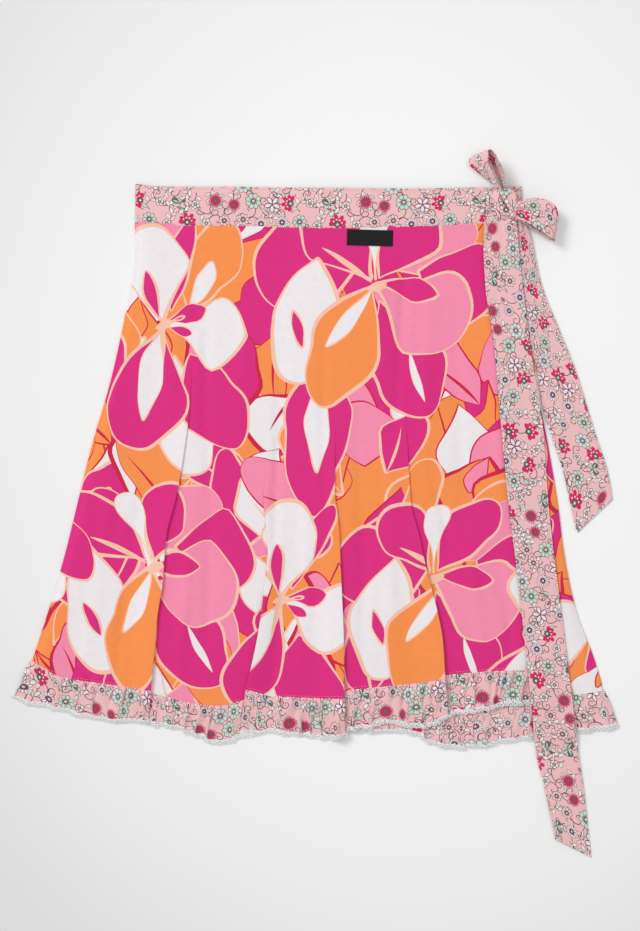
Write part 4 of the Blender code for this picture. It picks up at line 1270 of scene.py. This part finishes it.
bandLeft, bandRight, bandEnd = (float(at(bandMiddle)) for at in (leftEdge, rightEdge, underFree))
bandStep = waistband["step"]
overBandSurface = bandSurface(lambda x: bandStep * (1 + climb(x - bandEnd)) + 0.2, 0.0, rollLeft=bandLeft)
underBandSurface = bandSurface(lambda x: np.full_like(x, bandStep), 0.3, rollRight=bandRight)
backBandSurface = bandSurface(lambda x: np.zeros_like(x), 0.6)
overBand = makeBand("waistband_over_cloth", bandLeft - 4.4, waistband["overEnd"], overBandSurface, 3.0,
                    (20.0, 110.0))
underBand = makeBand("waistband_under_cloth", bandEnd, bandRight + 3.9, underBandSurface, 6.0,
                     (70.0, 30.0), printFrom=176)
backBand = makeBand("waistband_back_cloth", bandLeft + 3.2, bandRight - 3.2, backBandSurface, 9.0,
                    (0.0, 60.0), fine=False)


def labelSurface(across, down):
    turn = label["turn"]
    x = label["centre"][0] + across * math.cos(turn) + down * math.sin(turn)
    y = label["centre"][1] + across * math.sin(turn) - down * math.cos(turn)
    under = overSurface(seenToCloth(x, waistY - y), waistY - y)
    wide, tall = label["size"]
    lift = 0.45 + 0.25 * np.cos(math.pi * across / wide)**2 - 0.12 * np.cos(2 * math.pi * down / tall)
    return np.stack([x, y, under[:, 2] + lift], axis=-1)


def makeLabel():
    wide, tall = label["size"]
    cut = closedLine(np.array([(-wide / 2, -tall / 2), (wide / 2, -tall / 2), (wide / 2, tall / 2),
                               (-wide / 2, tall / 2)]), 2.0)
    made = clothMesh("woven_label_tape", cut, gridPoints(boxOf(cut), 1.6), [], "ink", labelSurface,
                     label["cloth"], tape)
    ends = [labelSurface(np.full(12, side * (wide / 2 - 1.4)), np.linspace(-tall / 2 + 1, tall / 2 - 1, 12))
            + (0, 0, 0.12)
            for side in (-1, 1)]
    return made, stitched("label_stitches", ends, blackThread, 4)


tapeLabel, labelStitches = makeLabel()
print("waistband and label made")


# ties: each lies on what is already there

def heights(pieces):
    trees = []
    for piece in pieces:
        mesh = piece.data
        trees.append(BVHTree.FromPolygons([v.co[:] for v in mesh.vertices],
                                          [p.vertices[:] for p in mesh.polygons]))

    def read(x, y):
        top = 0.0
        for tree in trees:
            hit = tree.ray_cast(Vector((x * mm, y * mm, 0.2)), Vector((0, 0, -1)))[0]
            if hit:
                top = max(top, hit.z / mm)
        return top
    return read


def tieRows(facts, top, columns=15, pinch=3.0):
    left, right = curveThrough(facts["drop"], facts["left"]), curveThrough(facts["drop"], facts["right"])
    start, end = facts["drop"][0], facts["drop"][-1]
    levels = np.arange(start, end + 0.1, (end - start) / round((end - start) / 3.0))
    shares = np.linspace(0, 1, columns)
    drops = levels[:, None] + facts["slant"] * ease((levels[:, None] - end + 60) / 60) * (shares[None] - 0.5)
    xs = left(levels)[:, None] + (right(levels) - left(levels))[:, None] * shares[None]
    ys = waistY - drops
    raw = np.array([[top(x, y) for x, y in zip(xRow, yRow)] for xRow, yRow in zip(xs, ys)])
    spread = raw.copy()
    for _ in range(3):      # stays level a little past an edge
        padded = np.pad(spread, 1, mode="edge")
        spread = np.max([padded[1 + i:padded.shape[0] - 1 + i, 1 + j:padded.shape[1] - 1 + j]
                         for i in (-1, 0, 1) for j in (-1, 0, 1)], axis=0)
    for _ in range(14):     # then comes down gently
        padded = np.pad(spread, 1, mode="edge")
        around = padded[:-2, 1:-1] + padded[2:, 1:-1] + padded[1:-1, :-2] + padded[1:-1, 2:]
        spread = np.maximum(around / 4, raw + 0.1)
    down = (levels - start)[:, None]
    gathered = np.exp(-down / 34) * pinch       # creases that run out from the knot
    wave = gathered * (0.5 + 0.5 * np.cos(2 * math.pi * (2.6 * shares[None] + 0.12 * np.sin(down / 25))))
    soft = 0.35 * np.sin(down / 31 + 3 * shares[None]) + 0.3 * np.sin(down / 47 - 2.2 * shares[None]) + 0.5
    z = spread + ties["clearance"] + ties["cloth"] + wave + np.maximum(soft, 0) * ease(down / 60)
    return np.stack([xs, ys, z], axis=-1)


def makeRibbon(name, rows, shift, turn, cloth, step=3.0):
    place, width, length = gridSurface(rows)
    cut = closedLine(np.array([(0, 0), (width, 0), (width, length), (0, length)], float), 3.0)
    box = boxOf(cut)
    painted = smallPrint(box, shift, turn)
    made = clothMesh(name, cut, gridPoints(box, step), painted, "rose", place, cloth, smallCloth, 0)
    inset = ties["stitchInset"]
    alongs = np.arange(6, length - 3, 1.5)
    lines = [place(np.full_like(alongs, at), alongs) + (0, 0, 0.1) for at in (inset, width - inset)]
    widths = np.linalg.norm(np.diff(rows, axis=1), axis=2).sum(1)
    return made, lines, (float(widths.mean()) * mm, length * mm)        # it narrows into the knot


lyingPieces = [overPanel, underPanel, overBand, underBand, overRuffle, underRuffle]
shortRows = tieRows(ties["short"], heights(lyingPieces), pinch=2.4)
shortTail, shortLines, shortFlat = makeRibbon("tie_tail_short_cloth", shortRows, (10.0, 5.0), 0.9,
                                              ties["cloth"])
longRows = tieRows(ties["long"], heights(lyingPieces + [shortTail]), pinch=2.6)
longTail, longLines, longFlat = makeRibbon("tie_tail_long_cloth", longRows, (44.0, 70.0), 1.2, ties["cloth"])


def loopRows(facts, columns=13):
    keys = np.arange(len(facts["near"]))
    at = np.linspace(0, keys[-1], 90)
    near, far = (np.stack([curveThrough(keys, [p[k] for p in facts[end]])(at) for k in range(3)], axis=-1)
                 for end in ("near", "far"))
    shares = np.linspace(0, 1, columns)[None, :, None]
    rows = near[:, None] * (1 - shares) + far[:, None] * shares
    along = np.gradient(rows, axis=0)
    across = np.gradient(rows, axis=1)
    normal = np.cross(along, across)
    normal /= np.maximum(np.linalg.norm(normal, axis=2, keepdims=True), 1e-6)
    fromKnot = np.minimum(at, keys[-1] - at)[:, None, None]
    wave = np.sin(2 * math.pi * (2.3 * shares + 0.1 * np.sin(at)[:, None, None]))
    return rows + normal * facts["crease"] * wave * (0.25 + 0.75 * np.exp(-fromKnot / 1.4))


rightLoop, rightLoopLines, rightFlat = makeRibbon("bow_loop_right_cloth", loopRows(bow["right"]),
                                                  (30.0, 12.0), 1.4, bow["cloth"], 2.2)
upperLoop, upperLoopLines, upperFlat = makeRibbon("bow_loop_upper_cloth", loopRows(bow["upper"]),
                                                  (80.0, 42.0), 0.5, bow["cloth"], 2.2)


knotSquare = 3.4        # the power of the knot's rounded square


def knotSurface(across, down):
    # flat where the long tie runs up over it, fuller where the loops come out, with one slit
    facts = bow["knot"]
    half = facts["half"]
    u, v = across / half[0], down / half[1]
    reach = (np.abs(u)**knotSquare + np.abs(v)**knotSquare) ** (1 / knotSquare)
    rim = np.clip(reach / 1.3, 0, 1)
    inward = np.where(reach > 1e-6, np.sin(rim * math.pi / 2) / np.maximum(reach, 1e-6), math.pi / 2.6)
    x, y = half[0] * u * inward * (1 - 0.08 * v * v), half[1] * v * inward
    low = ease((0.5 - x / half[0] + 0.5 * y / half[1]) / 1.1)         # towards the left and the long tail
    body = np.clip(1 - rim**2.8, 0, 1) ** (0.5 + 1.3 * low)
    folds = np.cos(6.4 * u + 0.9 * v + 0.8 * np.sin(2.2 * v)) * np.cos(rim * math.pi / 2)
    x0, y0, x1, y1, width, depth = facts["slit"]
    length = math.hypot(x1 - x0, y1 - y0)
    along = ((x - x0) * (x1 - x0) + (y - y0) * (y1 - y0)) / length**2
    side = ((x - x0) * (y1 - y0) - (y - y0) * (x1 - x0)) / length
    lens = ease(along / 0.4) * ease((1 - along) / 0.4)
    slit = lens * (depth * np.exp(-(side / width)**2)
                   - 0.5 * np.exp(-((side + 2.2 * width) / (1.5 * width))**2))
    height = half[2] * (1 - 0.3 * low) * body - 2.6 * low * (1 - body) + facts["crease"] * folds - slit
    cosine, sine = math.cos(facts["turn"]), math.sin(facts["turn"])
    return np.stack([facts["centre"][0] + x * cosine + y * sine, facts["centre"][1] + x * sine - y * cosine,
                     facts["centre"][2] + height], axis=-1)


def makeKnot():
    half = bow["knot"]["half"]
    angle = np.linspace(0, 2 * math.pi, 72, endpoint=False)
    square = (np.abs(np.cos(angle))**knotSquare + np.abs(np.sin(angle))**knotSquare) ** (-1 / knotSquare)
    cut = np.stack([1.29 * half[0] * square * np.cos(angle), 1.29 * half[1] * square * np.sin(angle)],
                   axis=-1)
    return clothMesh("bow_knot_cloth", cut, gridPoints(boxOf(cut), 0.95),
                     smallPrint(boxOf(cut), (22.0, 34.0), 0.4),
                     "rose", knotSurface, 0.6, smallCloth)


knot = makeKnot()
print("bow made")


# stitching

def bandRow(place, left, right, down):
    xs = np.arange(left, right, 2.0)
    return place(xs, np.full_like(xs, down)) + (0, 0, 0.08)


bandStitches = stitched("waistband_stitches", [
    bandRow(overBandSurface, bandLeft + 2, waistband["overEnd"] - 1, 2.6),
    bandRow(overBandSurface, bandLeft + 2, waistband["overEnd"] - 1, 37.6)], pinkThread, 2)
tieStitches = stitched("tie_stitches", shortLines + longLines + rightLoopLines + upperLoopLines,
                       pinkThread, 6)


def hemStitches():
    seam, _ = hemOf("over")
    xs = np.arange(overLeft + 8, overRight - 1, 1.5)
    hidden = throughFolds(xs, seam(xs) - 2)[2] > 0.9
    lines, run = [], []
    for x, skip in zip(xs, hidden):
        if skip:
            if len(run) > 4:
                lines.append(overSurface(np.array(run), seam(np.array(run)) - 2.2) + (0, 0, 0.06))
            run = []
        else:
            run.append(x)
    lines.append(overSurface(np.array(run), seam(np.array(run)) - 2.2) + (0, 0, 0.06))
    drops = np.arange(4, 438, 2.0)
    lines.append(overSurface(seenToCloth(freeEdge(drops) - 7, drops), drops) + (0, 0, 0.06))
    return stitched("panel_stitches", lines, pinkThread, 5)


panelStitches = hemStitches()
print("stitching made")


# what each piece stands for

pieces = [
    (overPanel, "over_wrap_panel", "large_flower_print"),
    (underPanel, "under_wrap_panel", "large_flower_print"),
    (backPanel, "back_panel", "large_flower_print"),
    (overBand, "waistband_over", "small_flower_print"),
    (underBand, "waistband_under", "small_flower_print"), (backBand, "waistband_back", "small_flower_print"),
    (overRuffle, "ruffle_over", "small_flower_print"), (underRuffle, "ruffle_under", "small_flower_print"),
    (backRuffle, "ruffle_back", "small_flower_print"), (overLace, "lace_trim_over", "white_lace"),
    (underLace, "lace_trim_under", "white_lace"), (backLace, "lace_trim_back", "white_lace"),
    (longTail, "tie_tail_long", "small_flower_print"), (shortTail, "tie_tail_short", "small_flower_print"),
    (rightLoop, "bow_loop_right", "small_flower_print"), (upperLoop, "bow_loop_upper", "small_flower_print"),
    (knot, "bow_knot", "small_flower_print"), (tapeLabel, "woven_label", "black_woven_tape"),
]
for piece, node, slot in pieces:
    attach(piece, "root")
    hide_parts(node)
for piece, slot in ((bandStitches, "small_flower_print"), (tieStitches, "small_flower_print"),
                    (panelStitches, "small_flower_print"), (labelStitches, "black_woven_tape")):
    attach(piece, "root")


# table top, light and camera

def makeFloor():
    mesh = bpy.data.meshes.new("floor")
    reach = 40.0
    corners = [(-reach, -reach, 0), (reach, -reach, 0), (reach, reach, 0), (-reach, reach, 0)]
    mesh.from_pydata(corners, [], [(0, 1, 2, 3)])
    floor = placed("floor", mesh)
    made, tree, shader = newMaterial("white_table", 0.9, 0.0)
    place = addNode(tree, "ShaderNodeTexCoord").outputs["Object"]
    cloud = addNode(tree, "ShaderNodeTexNoise", [(3.0, "Scale"), (place, "Vector")])
    white = mixed(tree, cloud.outputs["Fac"], (0.925, 0.925, 0.925, 1), (0.945, 0.945, 0.945, 1))
    # painted shade: the table is made a little darker away from the middle
    away = addNode(tree, "ShaderNodeMapping", [((-0.24, -0.08, 0), "Location"), ((2.0, 1.67, 1), "Scale"),
                                               (place, "Vector")]).outputs["Vector"]
    distance = addNode(tree, "ShaderNodeVectorMath", [(away, 0), (away, 1)], operation="DOT_PRODUCT")
    tone = addNode(tree, "ShaderNodeMapRange", [(1.5, "From Max"), (1.0, "To Min"), (0.79, "To Max"),
                                                (distance.outputs["Value"], "Value")],
                   interpolation_type="SMOOTHSTEP")
    tree.links.new(scaled(tree, white, tone.outputs["Result"]), shader.inputs["Base Color"])
    mesh.materials.append(made)


def addLight(name, place, size, watts):
    lamp = bpy.data.lights.new(name, "AREA")
    lamp.shape, lamp.size, lamp.energy = "SQUARE", size, watts
    made = placed(name, lamp)
    made.location = place
    made.rotation_euler = (-Vector(place)).to_track_quat("-Z", "Y").to_euler()


makeFloor()
addLight("window", (-2.9, 2.5, 3.7), 2.0, 134)
addLight("fill", (0.9, 0.3, 2.8), 2.6, 14.5)
world = bpy.data.worlds.new("studio")
world.use_nodes = True
world.node_tree.nodes["Background"].inputs["Color"].default_value = (1, 1, 1, 1)
world.node_tree.nodes["Background"].inputs["Strength"].default_value = 0.54
bpy.context.scene.world = world
bpy.context.scene.view_settings.view_transform = "Standard"

camera = bpy.data.objects.new("camera", bpy.data.cameras.new("camera"))
camera.data.lens = 85.07        # frames 0.64 by 0.931 m from straight above
camera.data.sensor_width = 36
camera.location = (0.0025, 0.0375, 2.2)
bpy.context.scene.collection.objects.link(camera)
bpy.context.scene.camera = camera
